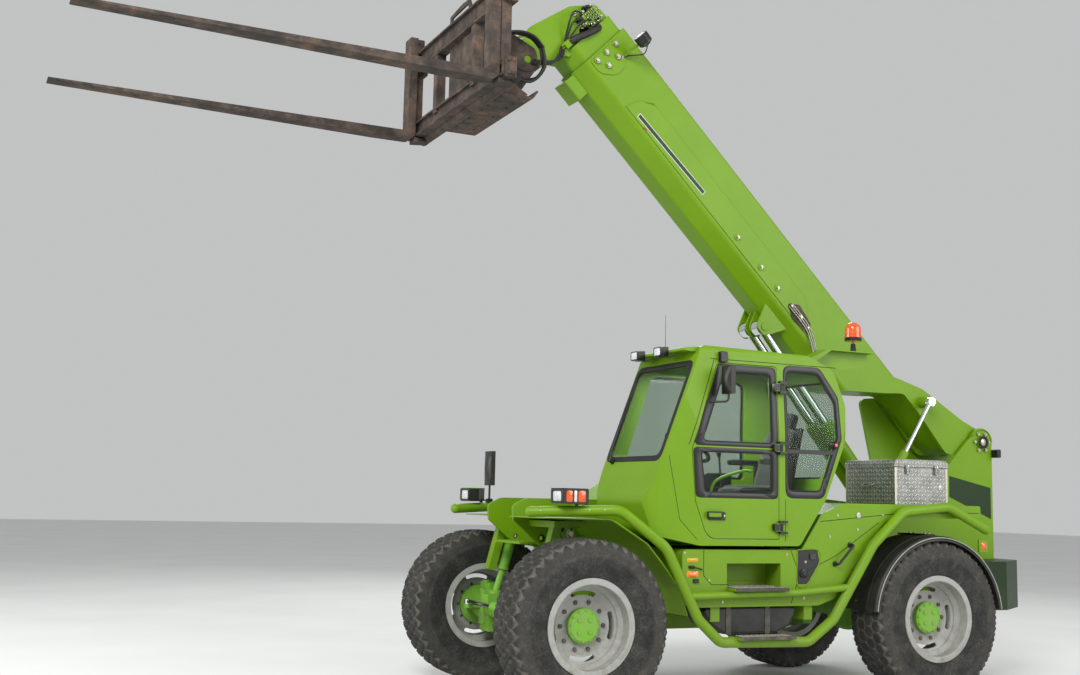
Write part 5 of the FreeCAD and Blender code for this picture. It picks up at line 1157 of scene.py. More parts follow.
def line_on(name, corners, wall, h, radius, material, body="machine"):
    """Thin line laid on a wall through (a, b) corners, each stretch cut into 25 mm steps."""
    path = []
    for p, q in zip(corners[:-1], corners[1:]):
        count = max(int(math.dist(p, q) / 0.025), 1)
        path += [wall(p[0] + (q[0] - p[0]) * k / count, p[1] + (q[1] - p[1]) * k / count,
                      h) for k in range(count)]
    path.append(wall(*corners[-1], h))
    return tube(name, path, radius, material, body, sides=8)


print("left wall at the door's top", np.round(left_wall(1.9, 2.64), 3))

# %% [markdown]
# Round the panes of door and rear side window the paint is black, and the panes sit in rubber. The
# door's black frame has two fields with a thin lime line between them where the lower field ends,
# and the rear side window has a bar across at the same height.

# %% Black frames and rubber of the side windows
DOOR_TOP_OUTER = [(1.583, 1.986), (2.366, 1.986), (2.127, 2.630), (1.583, 2.630)]
DOOR_TOP_HOLE = [(1.640, 2.018), (2.290, 2.018), (2.074, 2.572), (1.640, 2.572)]
DOOR_LOW_OUTER = [(1.583, 1.588), (2.340, 1.588), (2.366, 1.974), (1.583, 1.974)]
DOOR_LOW_HOLE = [(1.640, 1.628), (2.264, 1.628), (2.302, 1.942), (1.640, 1.942)]
REAR_OUTER = [(1.514, 1.598), (1.514, 2.656), (1.150, 2.656), (0.975, 2.420), (0.958, 2.085), (1.142, 1.598)]
REAR_HOLE = [(1.490, 1.650), (1.490, 2.610), (1.172, 2.610), (1.009, 2.376), (0.999, 2.092), (1.174, 1.650)]
frame_band("door_frame_top", DOOR_TOP_OUTER, DOOR_TOP_HOLE, left_wall, -0.010, 0.003, trim_plastic, "door",
           corner=0.035)
frame_band("door_frame_low", DOOR_LOW_OUTER, DOOR_LOW_HOLE, left_wall, -0.010, 0.003, trim_plastic, "door",
           corner=0.035)
frame_band("rear_side_frame", REAR_OUTER, REAR_HOLE, left_wall, -0.010, 0.003, trim_plastic, corner=0.07)


def shrunk(outline, by):
    """Outline drawn towards its middle by about a length."""
    outline = np.asarray(outline, dtype=float)
    centre = outline.mean(axis=0)
    way = outline - centre
    reach = np.linalg.norm(way, axis=1)[:, None]
    return centre + way * (1 - by / reach)


for tag, hole, body in (("door_top", DOOR_TOP_HOLE, "door"), ("door_low", DOOR_LOW_HOLE, "door"),
                        ("rear_side", REAR_HOLE, "machine")):
    frame_band("seal_" + tag, hole, shrunk(hole, 0.014), left_wall, -0.0095, -0.001, seal_rubber, body,
               corner=0.03)
bar = [(1.02, 1.952), (1.492, 1.952), (1.492, 1.985), (1.02, 1.985)]
flank_plate("rear_side_bar", bar, CAB_LEFT_Y - 0.010, 0.012, trim_plastic, corner=0.004, bevel=0.002)
turned("window_knob", [(0, 0), (0, 0.034), (0.012, 0.034), (0.020, 0.026), (0.030, 0.024), (0.036, 0.012),
                       (0.037, 0)], left_wall(1.035, 2.030, -0.008), LEFT, trim_plastic, sides=32)
turned("window_knob_cap", [(0.0, 0.0), (0.002, 0.013), (0.005, 0.012), (0.006, 0.0)],
       left_wall(1.035, 2.030, 0.028), LEFT, amber_lens, sides=20)

# %% [markdown]
# The windscreen is bonded in a wide rubber, the rear window in a narrower one, and the right window
# like the rear one. Panel joints of the cab, a few millimetres wide, read as dark lines.

# %% Front, rear and right windows, panel joints
def end_hole(y0, y1, z0, z1, grow):
    return [(y0 - grow, z0 - grow), (y1 + grow, z0 - grow), (y1 + grow, z1 + grow), (y0 - grow, z1 + grow)]


frame_band("windscreen_rubber", end_hole(0.215, 1.045, 1.880, 2.630, 0.022),
           end_hole(0.215, 1.045, 1.880, 2.630, -0.020), front_wall, -0.012, 0.004, seal_rubber, corner=0.075)
frame_band("rear_window_rubber", end_hole(0.220, 1.040, 1.760, 2.560, 0.018),
           end_hole(0.220, 1.040, 1.760, 2.560, -0.016), rear_wall, -0.014, 0.005, seal_rubber, corner=0.06)
frame_band("right_window_rubber", [(1.232, 1.732), (2.506, 1.762), (2.214, 2.608), (1.232, 2.608)],
           [(1.268, 1.768), (2.455, 1.797), (2.188, 2.572), (1.268, 2.572)], right_wall, -0.012, 0.004,
           seal_rubber, corner=0.05)
line_on("joint_behind_pillar", ((2.160, 2.660), (2.397, 1.990)), left_wall, -0.0005, 0.0028, seal_rubber)
line_on("joint_front_panel", ((2.560, 1.900), (2.470, 1.420), (2.330, 1.275)), left_wall, -0.0005, 0.0022,
        seal_rubber)
line_on("joint_under_rear_window", ((1.512, 1.590), (1.512, 1.262)), left_wall, -0.0005, 0.0022, seal_rubber)
line_on("roof_joint_left", ((0.985, 2.6648), (2.190, 2.6648)), left_wall, -0.001, 0.0030, seal_rubber)

# %% [markdown]
# Hinges, lock and mirror. Each hinge has a black sleeve on the door's eye and a black shoe on the
# ears of the cab's post, so the door can swing between them. The lock is a black plate with a
# recessed pull and a key cylinder. Mirror glasses are slightly domed discs of silvered glass.

# %% Hinges, lock and mirrors
HINGE = (1.572, 1.156)
for k, z in enumerate((1.340, 1.960, 2.440)):
    sleeve = [(0.001, 0.0142), (0.001, 0.0165), (0.059, 0.0165), (0.059, 0.0142)]
    turned(f"hinge_sleeve_{k}", sleeve + sleeve[:1], spot(*HINGE, z), UP, trim_plastic, "door", sides=24)
    block(f"hinge_leaf_{k}", (1.590, 1.1355, z + 0.004), (1.640, 1.1665, z + 0.056), trim_plastic, "door",
          corner=0.006, bevel=0.002)
    for tag, low, high in (("low", z - 0.021, z - 0.003), ("high", z + 0.063, z + 0.081)):
        block(f"hinge_shoe_{k}_{tag}", (1.510, 1.1365, low), (1.584, 1.1655, high), trim_plastic,
              corner=0.006, bevel=0.002)
flank_plate("lock_plate", [(2.075, 1.418), (2.235, 1.418), (2.235, 1.482), (2.075, 1.482)], 1.135, 0.004,
            trim_plastic, "door", corner=0.012, bevel=0.002)
frame_band("lock_pull_frame", [(2.105, 1.434), (2.255, 1.434), (2.255, 1.486), (2.105, 1.486)],
           [(2.122, 1.444), (2.238, 1.444), (2.238, 1.476), (2.122, 1.476)], lambda x, z,
           h: spot(x, 1.156 + h, z), -0.002, 0.006, trim_plastic, "door", corner=0.008, steps=48)
turned("key_cylinder", [(0, 0), (0, 0.011), (0.005, 0.010), (0.0055, 0.004), (0.003, 0.0035), (0.003, 0.0)],
       spot(2.092, 1.139, 1.450), LEFT, zinc, "door", sides=20)


def domed_glass(name, centre, out, width, height, material, body="machine", dome=0.006, steps=15):
    """Rounded rectangle whose middle stands out by dome (1 - u^2)(1 - v^2), closed by a flat back."""
    u, v = np.meshgrid(np.linspace(-1, 1, steps), np.linspace(-1, 1, steps), indexing="ij")
    pull = 1 - 0.10 * (u * v) ** 4
    hill = dome * (1 - u ** 2) * (1 - v ** 2) + 0.002
    a, b = np.cross(UP, out), np.asarray(UP, float)
    face = np.asarray(centre)[None, None] + (u * pull)[..., None] * a * width / 2
    face = face + (v * pull)[..., None] * b * height / 2
    front = face + hill[..., None] * np.asarray(out, float)
    back = face - 0.002 * np.asarray(out, float)
    points = np.concatenate([front.reshape(-1, 3), back.reshape(-1, 3)])
    n = steps * steps
    faces = grid_faces(steps, steps) + [[i + n for i in f[::-1]] for f in grid_faces(steps, steps)]
    ring = ([i * steps for i in range(steps)] + [(steps - 1) * steps + j for j in range(1, steps)]
            + [i * steps + steps - 1 for i in range(steps - 2, -1, -1)] + [j for j in range(steps - 2, 0,
                    -1)])
    faces += [[ring[k], ring[(k + 1) % len(ring)], ring[(k + 1) % len(ring)] + n,
               ring[k] + n] for k in range(len(ring))]
    piece = make(name, points, faces, material, body, smooth=50)
    tidy(piece)
    return piece


MIRROR_X = FRONT_AXLE - 1.120
domed_glass("door_mirror_glass", spot(MIRROR_X - 0.021, 1.234, 2.495), REAR, 0.112, 0.196, mirror_glass,
            "door", dome=0.004)
domed_glass("door_mirror_back", spot(MIRROR_X + 0.020, 1.234, 2.495), FRONT, 0.128, 0.214, trim_plastic,
            "door", dome=0.022)
domed_glass("nose_mirror_glass", spot(3.150 - 0.019, -0.9749, 1.810), REAR, 0.130, 0.280, mirror_glass,
            dome=0.004)
domed_glass("nose_mirror_back", spot(3.150 + 0.018, -0.9749, 1.810), FRONT, 0.146, 0.294, trim_plastic,
            dome=0.022)

# %% [markdown]
# Over the windscreen two work lamps look forward from under the visor. A wiper is parked upright at
# the screen's right edge: spindle, arm with its spring, and a blade that follows the glass. A thin
# antenna stands on the roof, and the beacon's amber dome sits in a ribbed collar.

# %% Roof lamps, wiper, antenna and beacon collar
for k, y in enumerate((0.385, 0.755)):
    domed_glass(f"roof_lamp_lens_{k}", spot(2.4715, y, 2.730), FRONT, 0.096, 0.058, clear_lens, dome=0.006)
    frame_band(f"roof_lamp_rim_{k}", rectangle(y, 2.730, 0.0555, 0.0365), rectangle(y, 2.730, 0.046, 0.028),
               lambda a, b, h: spot(2.470 + h, a, b), -0.014, 0.006, trim_plastic, corner=0.010, steps=48)
    tube(f"roof_lamp_cable_{k}", smooth_path([spot(2.400, y + 0.02, 2.745), spot(2.415, y + 0.05, 2.690),
                                              spot(2.400, y + 0.12, 2.684), spot(2.385, y + 0.16, 2.700)], 8),
                                              0.004, hose_rubber, sides=8)
arm = [front_wall(y, z, h) for y, z, h in ((0.330, 1.862, 0.028), (0.318, 1.93, 0.040), (0.292, 2.10, 0.034),
                                           (0.276, 2.20, 0.026))]
tube("wiper_arm", smooth_path(arm, 10), np.interp(np.linspace(0, 1, 31), [0, 1], [0.0085, 0.005]),
     trim_plastic, sides=10)
blade = [front_wall(0.274 + 0.006 * math.sin(t * 3), 1.935 + 0.52 * t, 0.012) for t in np.linspace(0, 1, 24)]
tube("wiper_blade", blade, 0.0065, seal_rubber, sides=8)
blade_back = [front_wall(0.274, 1.960 + 0.47 * t,
                         0.016 + 0.016 * math.sin(math.pi * t)) for t in np.linspace(0, 1, 24)]
tube("wiper_blade_back", blade_back, 0.004, trim_plastic, sides=8)
turned("wiper_spindle", [(0, 0), (0, 0.024), (0.018, 0.022), (0.032, 0.016), (0.040, 0.014), (0.042, 0)],
       front_wall(0.330, 1.862, -0.004), (1 / LEAN, 0, SLOPE / LEAN), trim_plastic, sides=24)
tube("antenna", [spot(2.126 + 0.004 * t, 0.300 + 0.006 * t, 2.745 + 0.36 * t) for t in np.linspace(0, 1, 12)],
     np.linspace(0.0028, 0.0014, 12), trim_plastic, sides=8)
turned("antenna_foot", [(0, 0), (0, 0.018), (0.012, 0.016), (0.022, 0.007), (0.034, 0.004), (0.035, 0)],
       spot(2.126, 0.300, 2.735), UP, seal_rubber, sides=20)
collar = [(0.0, 0.0)] + [(0.004 * k, 0.070 + (0.0018 if k % 2 else 0.0)) for k in range(8)] + [(0.030, 0.0)]
turned("beacon_collar", collar, spot(0.643, 0.900, 2.932), UP, trim_plastic, sides=40)
turned("beacon_stalk_cover", [(0, 0.016), (0, 0.026), (0.02, 0.024), (0.07, 0.019),
                              (0.072, 0.016), (0, 0.016)], spot(0.643, 0.900, 2.838), UP, seal_rubber,
                              sides=24)
block("roof_corner_lamp", (2.055, 1.075, 2.640), (2.120, 1.135, 2.725), trim_plastic, corner=0.012,
      bevel=0.005)

# %% [markdown]
# The nose carries two lamp housings on the ring tubes. Each has a clear headlamp in a black rim in
# front, and on its black flank two amber lenses with a small clear one between. Only the lids
# differ: the left one is black and the right one is painted.

# %% Nose lamps
for side in (1, -1):
    tag = hand(side)
    front = spot(3.4055, side * 0.911, 1.5755)
    domed_glass("headlamp_" + tag, front, FRONT, 0.150, 0.078, clear_lens, dome=0.012)
    middle = side * 0.911
    frame_band("headlamp_rim_" + tag, rectangle(middle, 1.5755, 0.100, 0.0535),
               rectangle(middle, 1.5755, 0.073, 0.0375), lambda a, b, h: spot(3.402 + h, a, b), -0.02, 0.012,
               trim_plastic, corner=0.018, steps=64)
    for k, (x, width, lens) in enumerate(((3.355, 0.052, amber_lens), (3.305, 0.024, clear_lens),
                                          (3.252, 0.062, amber_lens))):
        domed_glass(f"side_lens_{tag}_{k}", spot(x, side * 1.0115, 1.5755), (0, side, 0), width, 0.082, lens,
                    dome=0.006)
    shade = trim_plastic if side > 0 else lime
    flank_plate("lamp_shell_" + tag, [(3.196, 1.5185), (3.404, 1.5185), (3.404, 1.6325), (3.196, 1.6325)],
                side * 1.0105, 0.0012, trim_plastic, corner=0.010, bevel=0.0, side=side)
    lid = [(3.196, 1.000), (3.408, 1.002), (3.412, 0.808), (3.322, 0.808), (3.198, 0.960)]
    top = np.array([[x, side * y] for x, y in lid])
    slab("lamp_lid_" + tag, top, spot(0, 0, 1.6285), FRONT, LEFT, 0.006, shade, bevel=0.002)

# %% [markdown]
# The round hole in each nose plate is lined. The channel between the plates stays empty, because the
# boom comes down into it. The suspension cylinders have a clamped hydraulic line in front, screwed gland
# rings, and hexagon nuts on their pins. Small screws mark where the tubes are joined to the frame.

# %% Hole liners, suspension lines and screws
for side, face in ((1, 0.116), (-1, -0.416)):
    turned("nose_hole_liner_" + hand(side),
           [(-0.012, 0.0205), (0.004, 0.030), (0.007, 0.028), (0.006, 0.0205),
            (-0.012, 0.0175), (-0.012, 0.0205)], spot(3.153, face, 1.239), (0, side, 0), seal_rubber,
            sides=28)
TOP, FOOT = np.array([3.120, 1.289]), np.array([3.265, 0.755])
for side in (1, -1):
    y = side * 0.511
    tag = hand(side)
    d = (FOOT - TOP) / np.linalg.norm(FOOT - TOP)
    way = (d[0], 0.0, d[1])
    for k, share in enumerate((0.135, 0.60)):
        centre = TOP + (FOOT - TOP) * share
        turned(f"suspension_gland_{tag}_{k}", [(-0.014, 0.0452), (-0.014, 0.0500), (0.014, 0.0500),
                                               (0.014, 0.0452), (-0.014, 0.0452)],
                                               spot(centre[0], y, centre[1]), way, lime_axle, sides=36)
    line = [(TOP + (FOOT - TOP) * t) for t in (0.16, 0.30, 0.45, 0.58)]
    off = (-0.050, -0.054, -0.052, -0.050)
    path = [spot(p[0] + o * 0.2, y + side * 0.052, p[1]) for p, o in zip(line, off)]
    path = [spot(3.085, y + side * 0.02, 1.360), spot(3.110, y + side * 0.055, 1.320)] + path
    tube(f"suspension_line_{tag}", smooth_path(path, 8), 0.006, hose_rubber, sides=10)
    repeated(f"suspension_pin_nuts_{tag}", hexagon_bolt(0.040, 0.014),
             [facing((0, s, 0), spot(3.120, y + s * 0.049, 1.289)) for s in (1, -1)], zinc)
    screws = [facing((0, side, 0.0), spot(x, side * (0.760 + (3.554 - x) * 0.5303 + 0.0388),
                                          1.455 + (3.554 - x) * 0.042 + 0.006)) for x in (3.50, 3.18, 3.08)]
    repeated(f"tube_screws_{tag}", hexagon_bolt(0.012, 0.006, False), screws, zinc)
    tube(f"nose_cable_{tag}", smooth_path([spot(3.215, side * 0.93, 1.53), spot(3.15, side * 0.90, 1.515),
                                           spot(3.05, side * 0.70, 1.500),
                                           spot(2.95, -0.150 + side * 0.268, 1.470)], 10), 0.006, hose_rubber,
                                           sides=10)
block("nose_mirror_clamp", (3.125, -1.000, 1.505), (3.175, -0.950, 1.545), trim_plastic, corner=0.01,
      bevel=0.004)

# %% [markdown]
# The left body under the cab: panel joints, reflectors, a strap latch, the cab's rubber mounts, a
# grab handle, the round lock of the rear panel, and two step treads with punched teeth. Below it
# hangs a black moulded tank between the steps. The body's side stands at y = 1.105 m.

# %% Left body
SIDE = 1.105


def at_side(x, z, h=0.0):
    return spot(x, SIDE + h, z)


domed_glass("yellow_reflector", at_side(2.350, 1.115), LEFT, 0.100, 0.030, yellow_film, dome=0.004)
domed_glass("orange_marker", at_side(2.350, 1.010), LEFT, 0.105, 0.044, orange_marker, dome=0.010)
block("latch_base", (2.335, 1.104, 1.050), (2.385, 1.116, 1.075), trim_plastic, corner=0.006, bevel=0.002)
tube("latch_strap", smooth_path([spot(2.375, 1.118, 1.062), spot(2.34, 1.128, 1.060), spot(2.30, 1.126,
        1.052), spot(2.27, 1.114, 1.045)], 6), 0.005, seal_rubber, sides=8)
block("marker_switch", (2.300, 1.104, 0.945), (2.345, 1.120, 0.975), trim_plastic, corner=0.006, bevel=0.002)
for k, (x, y) in enumerate(((1.500, 0.940), (2.200, 0.940), (1.500, 0.330), (2.200, 0.330))):
    turned(f"cab_mount_rubber_{k}", [(0.0, 0.0), (0.0, 0.062), (0.006, 0.066), (0.013, 0.067), (0.020, 0.062),
                                     (0.022, 0.0)], spot(x, y, 1.198), UP, seal_rubber, sides=36)
line_on("panel_joint_front", ((2.250, 1.190), (2.250, 1.000), (2.180, 0.930), (2.030, 0.930)), at_side, 0.0,
        0.0025, seal_rubber)
line_on("panel_joint_rear", ((1.440, 1.190), (1.360, 1.000), (1.440, 0.780)), at_side, 0.0, 0.0025,
        seal_rubber)
line_on("panel_joint_long", ((1.360, 1.000), (1.000, 1.150), (0.560, 1.420)), at_side, 0.0, 0.0025,
        seal_rubber)
line_on("panel_joint_top", ((1.150, 1.420), (0.300, 1.500), (-0.520, 1.510)), at_side, 0.0, 0.0025,
        seal_rubber)
repeated("body_screws", hexagon_bolt(0.014, 0.006), [facing(LEFT, at_side(x, z)) for x, z in (
    (2.420, 1.170), (2.200, 0.960), (1.480, 1.160), (1.300, 1.100), (1.060, 1.300), (0.780, 1.360),
    (0.520, 1.480), (0.980, 1.470), (2.080, 0.800), (1.320, 0.820))], zinc)
tube("grab_handle", smooth_path([at_side(1.012, 1.085, 0.0), at_side(1.010, 1.087, 0.045), at_side(0.985,
        1.110, 0.052), at_side(0.885, 1.210, 0.052), at_side(0.862, 1.234, 0.045),
                                 at_side(0.860, 1.236, 0.0)], 8), 0.011, trim_plastic, sides=14)
for k, (x, z) in enumerate(((1.012, 1.085), (0.860, 1.236))):
    turned(f"handle_foot_{k}", [(0, 0), (0, 0.024), (0.006, 0.022), (0.010, 0.014), (0.011, 0)],
           at_side(x, z), LEFT, trim_plastic, sides=24)
turned("panel_lock", [(0, 0), (0, 0.026), (0.006, 0.025), (0.008, 0.018), (0.005, 0.016), (0.005, 0)],
       at_side(0.770, 1.472), LEFT, zinc, sides=28)
WELL = [(1.380, 1.196), (1.185, 1.196), (1.165, 1.100), (1.285, 0.928), (1.380, 0.928)]
flank_plate("filler_well", WELL, 1.1045, 0.0015, trim_plastic, corner=0.016)
tube("filler_well_edge", smooth_path([at_side(x, z, 0.001) for x, z in WELL + WELL[:1]], 10), 0.005, lime,
     sides=10)
turned("filler_cap", [(0, 0), (0, 0.036), (0.010, 0.035), (0.014, 0.028), (0.016, 0.020), (0.022, 0.019),
                      (0.023, 0)], at_side(1.322, 1.010), LEFT, trim_plastic, sides=36)
block("filler_latch", (1.205, 1.105, 1.120), (1.262, 1.119, 1.165), charcoal, corner=0.008, bevel=0.003)
flank_plate("recess_plate", [(1.500, 0.945), (2.100, 0.945), (2.100, 1.186), (1.500, 1.186)], 0.9005, 0.004,
            lime, corner=0.02, bevel=0.002)


def tread_plate(name, x, y, z, body="machine"):
    """Step tread: a thin black plate with rows of round raised teeth, each a short cone."""
    slab(name, round_corners([(x[0], y[0]), (x[1], y[0]), (x[1], y[1]), (x[0], y[1])], 0.008), spot(0, 0, z),
         FRONT, LEFT, 0.003, charcoal, body)
    tooth = stub_shape([(0.0, 0.0075), (0.004, 0.006), (0.006, 0.0045)], 8)
    places = [facing(UP, spot(a, b, z + 0.003)) for i,
              a in enumerate(np.arange(x[0] + 0.018, x[1] - 0.01, 0.024))
              for b in np.arange(y[0] + 0.014 + (i % 2) * 0.010, y[1] - 0.008, 0.020)]
    return repeated(name + "_teeth", tooth, places, zinc, body)


tread_plate("upper_tread", (1.560, 2.020), (1.120, 1.218), 0.906)
tread_plate("lower_tread", (1.510, 1.990), (1.100, 1.238), 0.542)
tread_plate("recess_tread", (1.560, 2.020), (0.910, 1.085), 0.906)
flank_plate("upper_step_edge", [(1.545, 0.884), (2.035, 0.884), (2.035, 0.910), (1.545, 0.910)], 1.2245,
            0.004, charcoal, corner=0.006, bevel=0.001)
flank_plate("lower_step_edge", [(1.495, 0.520), (2.005, 0.520), (2.005, 0.546), (1.495, 0.546)], 1.2445,
            0.004, charcoal, corner=0.006, bevel=0.001)
TANK = [(2.255, 0.757), (1.330, 0.757), (1.440, 0.600), (1.560, 0.552), (2.040, 0.552), (2.150, 0.620)]
flank_plate("black_tank", TANK, 0.760, 0.310, black_plastic, corner=0.05, bevel=0.018)
for k, x in enumerate((1.620, 1.980)):
    flank_plate(f"tank_strap_{k}", [(x, 0.548), (x + 0.045, 0.548), (x + 0.045, 0.757), (x, 0.757)], 1.0705,
                0.004, charcoal, corner=0.004, bevel=0.001)

# %% [markdown]
# The right side is closed by the engine pod. Its louvres get thin slats that slope outwards and
# down, and behind them a fine mesh keeps chaff out. A panel joint runs round the lifting hood, with
# two latches at its foot and a seal along its edge.

# %% Engine pod
POD = -1.105
for i in range(6):
    z = 1.130 + i * 0.070
    flank_plate(f"louvre_{i}", [(1.252, z + 0.001), (2.048, z + 0.001), (2.048, z + 0.006),
                                (1.252, z + 0.006)], POD + 0.034, 0.036, lime, side=-1)
wires = []
for a in np.arange(1.250, 2.052, 0.012):
    wires.append(np.array([[1, 0, 0, spot(a, 0, 0)[0]], [0, 1, 0, POD + 0.036], [0, 0, 1, 1.335],
                           [0, 0, 0, 1]]))
thin = 0.0009
wire = ([(-thin, -thin, -0.225), (thin, -thin, -0.225), (thin, thin, -0.225), (-thin, thin, -0.225),
         (-thin, -thin, 0.225), (thin, -thin, 0.225), (thin, thin, 0.225), (-thin, thin, 0.225)],
        [[0, 3, 2, 1], [4, 5, 6, 7], [0, 1, 5, 4], [1, 2, 6, 5], [2, 3, 7, 6], [3, 0, 4, 7]])
repeated("mesh_upright", wire, wires, charcoal, smooth=0)
flat = [np.array([[0, 0, 1.78, spot(1.650, 0, 0)[0]], [0, 1, 0, POD + 0.038], [-1, 0, 0, z],
                  [0, 0, 0, 1]]) for z in np.arange(1.115, 1.56, 0.012)]
repeated("mesh_flat", wire, flat, charcoal, smooth=0)
pod_joint = lambda x, z, h=0.0: spot(x, POD - h, z)
line_on("pod_joint", ((2.210, 1.500), (2.210, 1.060), (1.120, 1.060), (0.560, 1.400), (0.560, 1.560)),
        pod_joint, 0.0, 0.0028, seal_rubber)
for k, x in enumerate((1.350, 1.950)):
    block(f"pod_latch_{k}", (x, POD - 0.018, 1.020), (x + 0.050, POD + 0.001, 1.085), trim_plastic,
          corner=0.010, bevel=0.004)
repeated("pod_screws", hexagon_bolt(0.014, 0.006), [facing(RIGHT, spot(x, POD, z)) for x, z in (
    (2.26, 1.10), (2.26, 1.30), (1.10, 0.98), (0.70, 1.36), (0.20, 1.50), (-0.30, 1.51), (2.10, 0.86),
    (1.40, 0.86))], zinc)

# %% [markdown]
# Some small parts sit on faces that lean or bend. A ray sent at the CAD solid says where its skin
# is, so a lamp or a screw can be set down on it exactly. The rear mudguards get a pale worn lip, a
# folded inner bead, and the bolts of their straps. The plated tool box gets edge angles, clasps, a
# lock and two carrying handles, and the small parts near it follow.

# %% Find the skin of a solid
def struck(node, start, way):
    """Where a ray from start along way first meets the node, with its outward normal, or None."""
    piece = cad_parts[node]
    back = piece.matrix_world.inverted()
    way = Vector(way).normalized()
    hit, place, normal, _ = piece.ray_cast(back @ Vector(start), (back.to_3x3() @ way).normalized())
    if not hit:
        return None
    return np.array(piece.matrix_world @ place), np.array((piece.matrix_world.to_3x3() @ normal).normalized())


print("tool box front", struck("tool_box", spot(0.0, 1.6, 1.75), RIGHT))

# %% Rear mudguards
for side, body in ((1, "knuckle_rl_body"), (-1, "knuckle_rr_body")):
    tag = hand(side)
    t = np.radians(np.linspace(6.5, 173.5, 90))
    for name, radius, y, thick, material in (("mudguard_lip_", 0.6655, 1.203, 0.0042, pale_lip),
                                             ("mudguard_bead_", 0.679, 0.796, 0.005, seal_rubber),
                                             ("mudguard_rib_", 0.6815, 1.080, 0.0035, black_plastic)):
        tube(name + tag, [spot(radius * math.cos(a), side * y, 0.637 + radius * math.sin(a)) for a in t],
             thick, material, body, sides=10)
    repeated("mudguard_bolts_" + tag, hexagon_bolt(0.020, 0.010),
             [facing(UP, spot(x, side * y, 0.637 + 0.693)) for x in (-0.022, 0.022) for y in (0.86, 1.04)],
             zinc, body)
    for k, (angle, width) in enumerate(((12.0, 0.10), (168.0, 0.10))):
        a = math.radians(angle)
        edge = [spot(0.6825 * math.cos(a), side * y, 0.637 + 0.6825 * math.sin(a)) for y in (0.84, 0.94)]
        repeated(f"mudguard_rivets_{tag}_{k}", hexagon_bolt(0.014, 0.006, False),
                 [facing((math.cos(a), 0, math.sin(a)), p) for p in edge], zinc, body)

# %% Tool box fittings
BOX_X, BOX_Y = (-0.279, 0.294), (0.356, 0.994)
for k, x in enumerate(BOX_X):
    way = -1 if k == 0 else 1
    for m, y in enumerate(BOX_Y):
        out = -1 if m == 0 else 1
        slab(f"box_edge_{k}_{m}", [(x - way * 0.022, y), (x - way * 0.022, y + out * 0.0015),
                                   (x + way * 0.0015, y + out * 0.0015), (x + way * 0.0015, y - out * 0.022),
                                   (x, y - out * 0.022), (x, y)], spot(0, 0, 1.572), FRONT, LEFT, 0.308, zinc)
    tube(f"box_handle_{k}", smooth_path([spot(x, 0.60, 1.74), spot(x + way * 0.030, 0.605, 1.735),
                                         spot(x + way * 0.034, 0.675, 1.720),
                                         spot(x + way * 0.030, 0.745, 1.735), spot(x, 0.75, 1.74)], 8), 0.006,
                                         zinc, sides=12)
for k, x in enumerate((-0.149, 0.164)):
    tube(f"clasp_wire_{k}", smooth_path([spot(x - 0.014, 1.0135, 1.880), spot(x - 0.014, 1.0155, 1.835),
                                         spot(x, 1.017, 1.828), spot(x + 0.014, 1.0155, 1.835),
                                         spot(x + 0.014, 1.0135, 1.880)], 6), 0.0022, chrome, sides=8)
    turned(f"clasp_knob_{k}", [(0, 0), (0, 0.008), (0.006, 0.008), (0.008, 0.005), (0.008, 0)],
           spot(x, 1.012, 1.892), LEFT, chrome, sides=20)
block("box_lock_plate", (-0.215, 0.993, 1.700), (-0.175, 1.000, 1.745), zinc, corner=0.006, bevel=0.002)
turned("box_lock_barrel", [(0, 0), (0, 0.010), (0.004, 0.010), (0.005, 0.006), (0.003, 0.005), (0.003, 0)],
       spot(-0.195, 0.9995, 1.7225), LEFT, chrome, sides=24)
line_on("lid_joint", ((-0.281, 1.886), (0.296, 1.886)), lambda x, z, h=0.0: spot(x, 1.0005, z), 0.0, 0.0022,
        seal_rubber)
repeated("box_feet_screws", hexagon_bolt(0.014, 0.006),
         [facing(LEFT, spot(x, 0.994, 1.585)) for x in (-0.24, -0.08, 0.08, 0.25)], zinc)

# %% [markdown]
# At the back a small work lamp looks rearwards, tail lamps stand on the rear weight, and a bracket
# with a marker lamp sits over the left wheel. Where the photograph hides the back, these follow the
# type: one red and amber cluster each side, low and clear of the weight.

# %% Rear lamps and small fittings
for side in (1, -1):
    tag = hand(side)
    found = struck("counterweight", spot(-2.4, side * 0.24 - 0.075, 0.95), FRONT)
    if found is None:
        print("no rear face for the", tag, "tail lamp")
        continue
    place, normal = found
    slab("tail_lamp_body_" + tag, round_corners([(-0.085, -0.040), (0.085, -0.040), (0.085, 0.040), (-0.085,
            0.040)], 0.012), place + np.array([0.004, 0, 0]), RIGHT, UP, 0.034, trim_plastic, bevel=0.003)
    for k, (shift, width, lens) in enumerate(((-0.046, 0.066, red_lens), (0.012, 0.040, amber_lens),
                                              (0.055, 0.036, clear_lens))):
        domed_glass(f"tail_lens_{tag}_{k}", place + np.array([-0.0300, -side * shift, 0]), REAR, width, 0.064,
                    lens, dome=0.005)
    domed_glass("rear_reflector_" + tag, struck("counterweight", spot(-2.4, side * 0.24 - 0.075, 0.82),
                                                FRONT)[0], REAR, 0.085, 0.040, red_lens, dome=0.005)
flank_plate("marker_bracket", [(-0.600, 1.180), (-0.500, 1.180), (-0.500, 1.290), (-0.600, 1.290)], 1.1045,
            0.020, lime, corner=0.014, bevel=0.004)
domed_glass("marker_lens", spot(-0.550, 1.1245, 1.235), LEFT, 0.060, 0.060, amber_lens, dome=0.008)
tube("beacon_cable", smooth_path([spot(0.643, 0.890, 2.79), spot(0.630, 0.80, 2.775), spot(0.600, 0.62, 2.75),
                                  spot(0.60, 0.50, 2.72)], 8), 0.004, hose_rubber, sides=8)

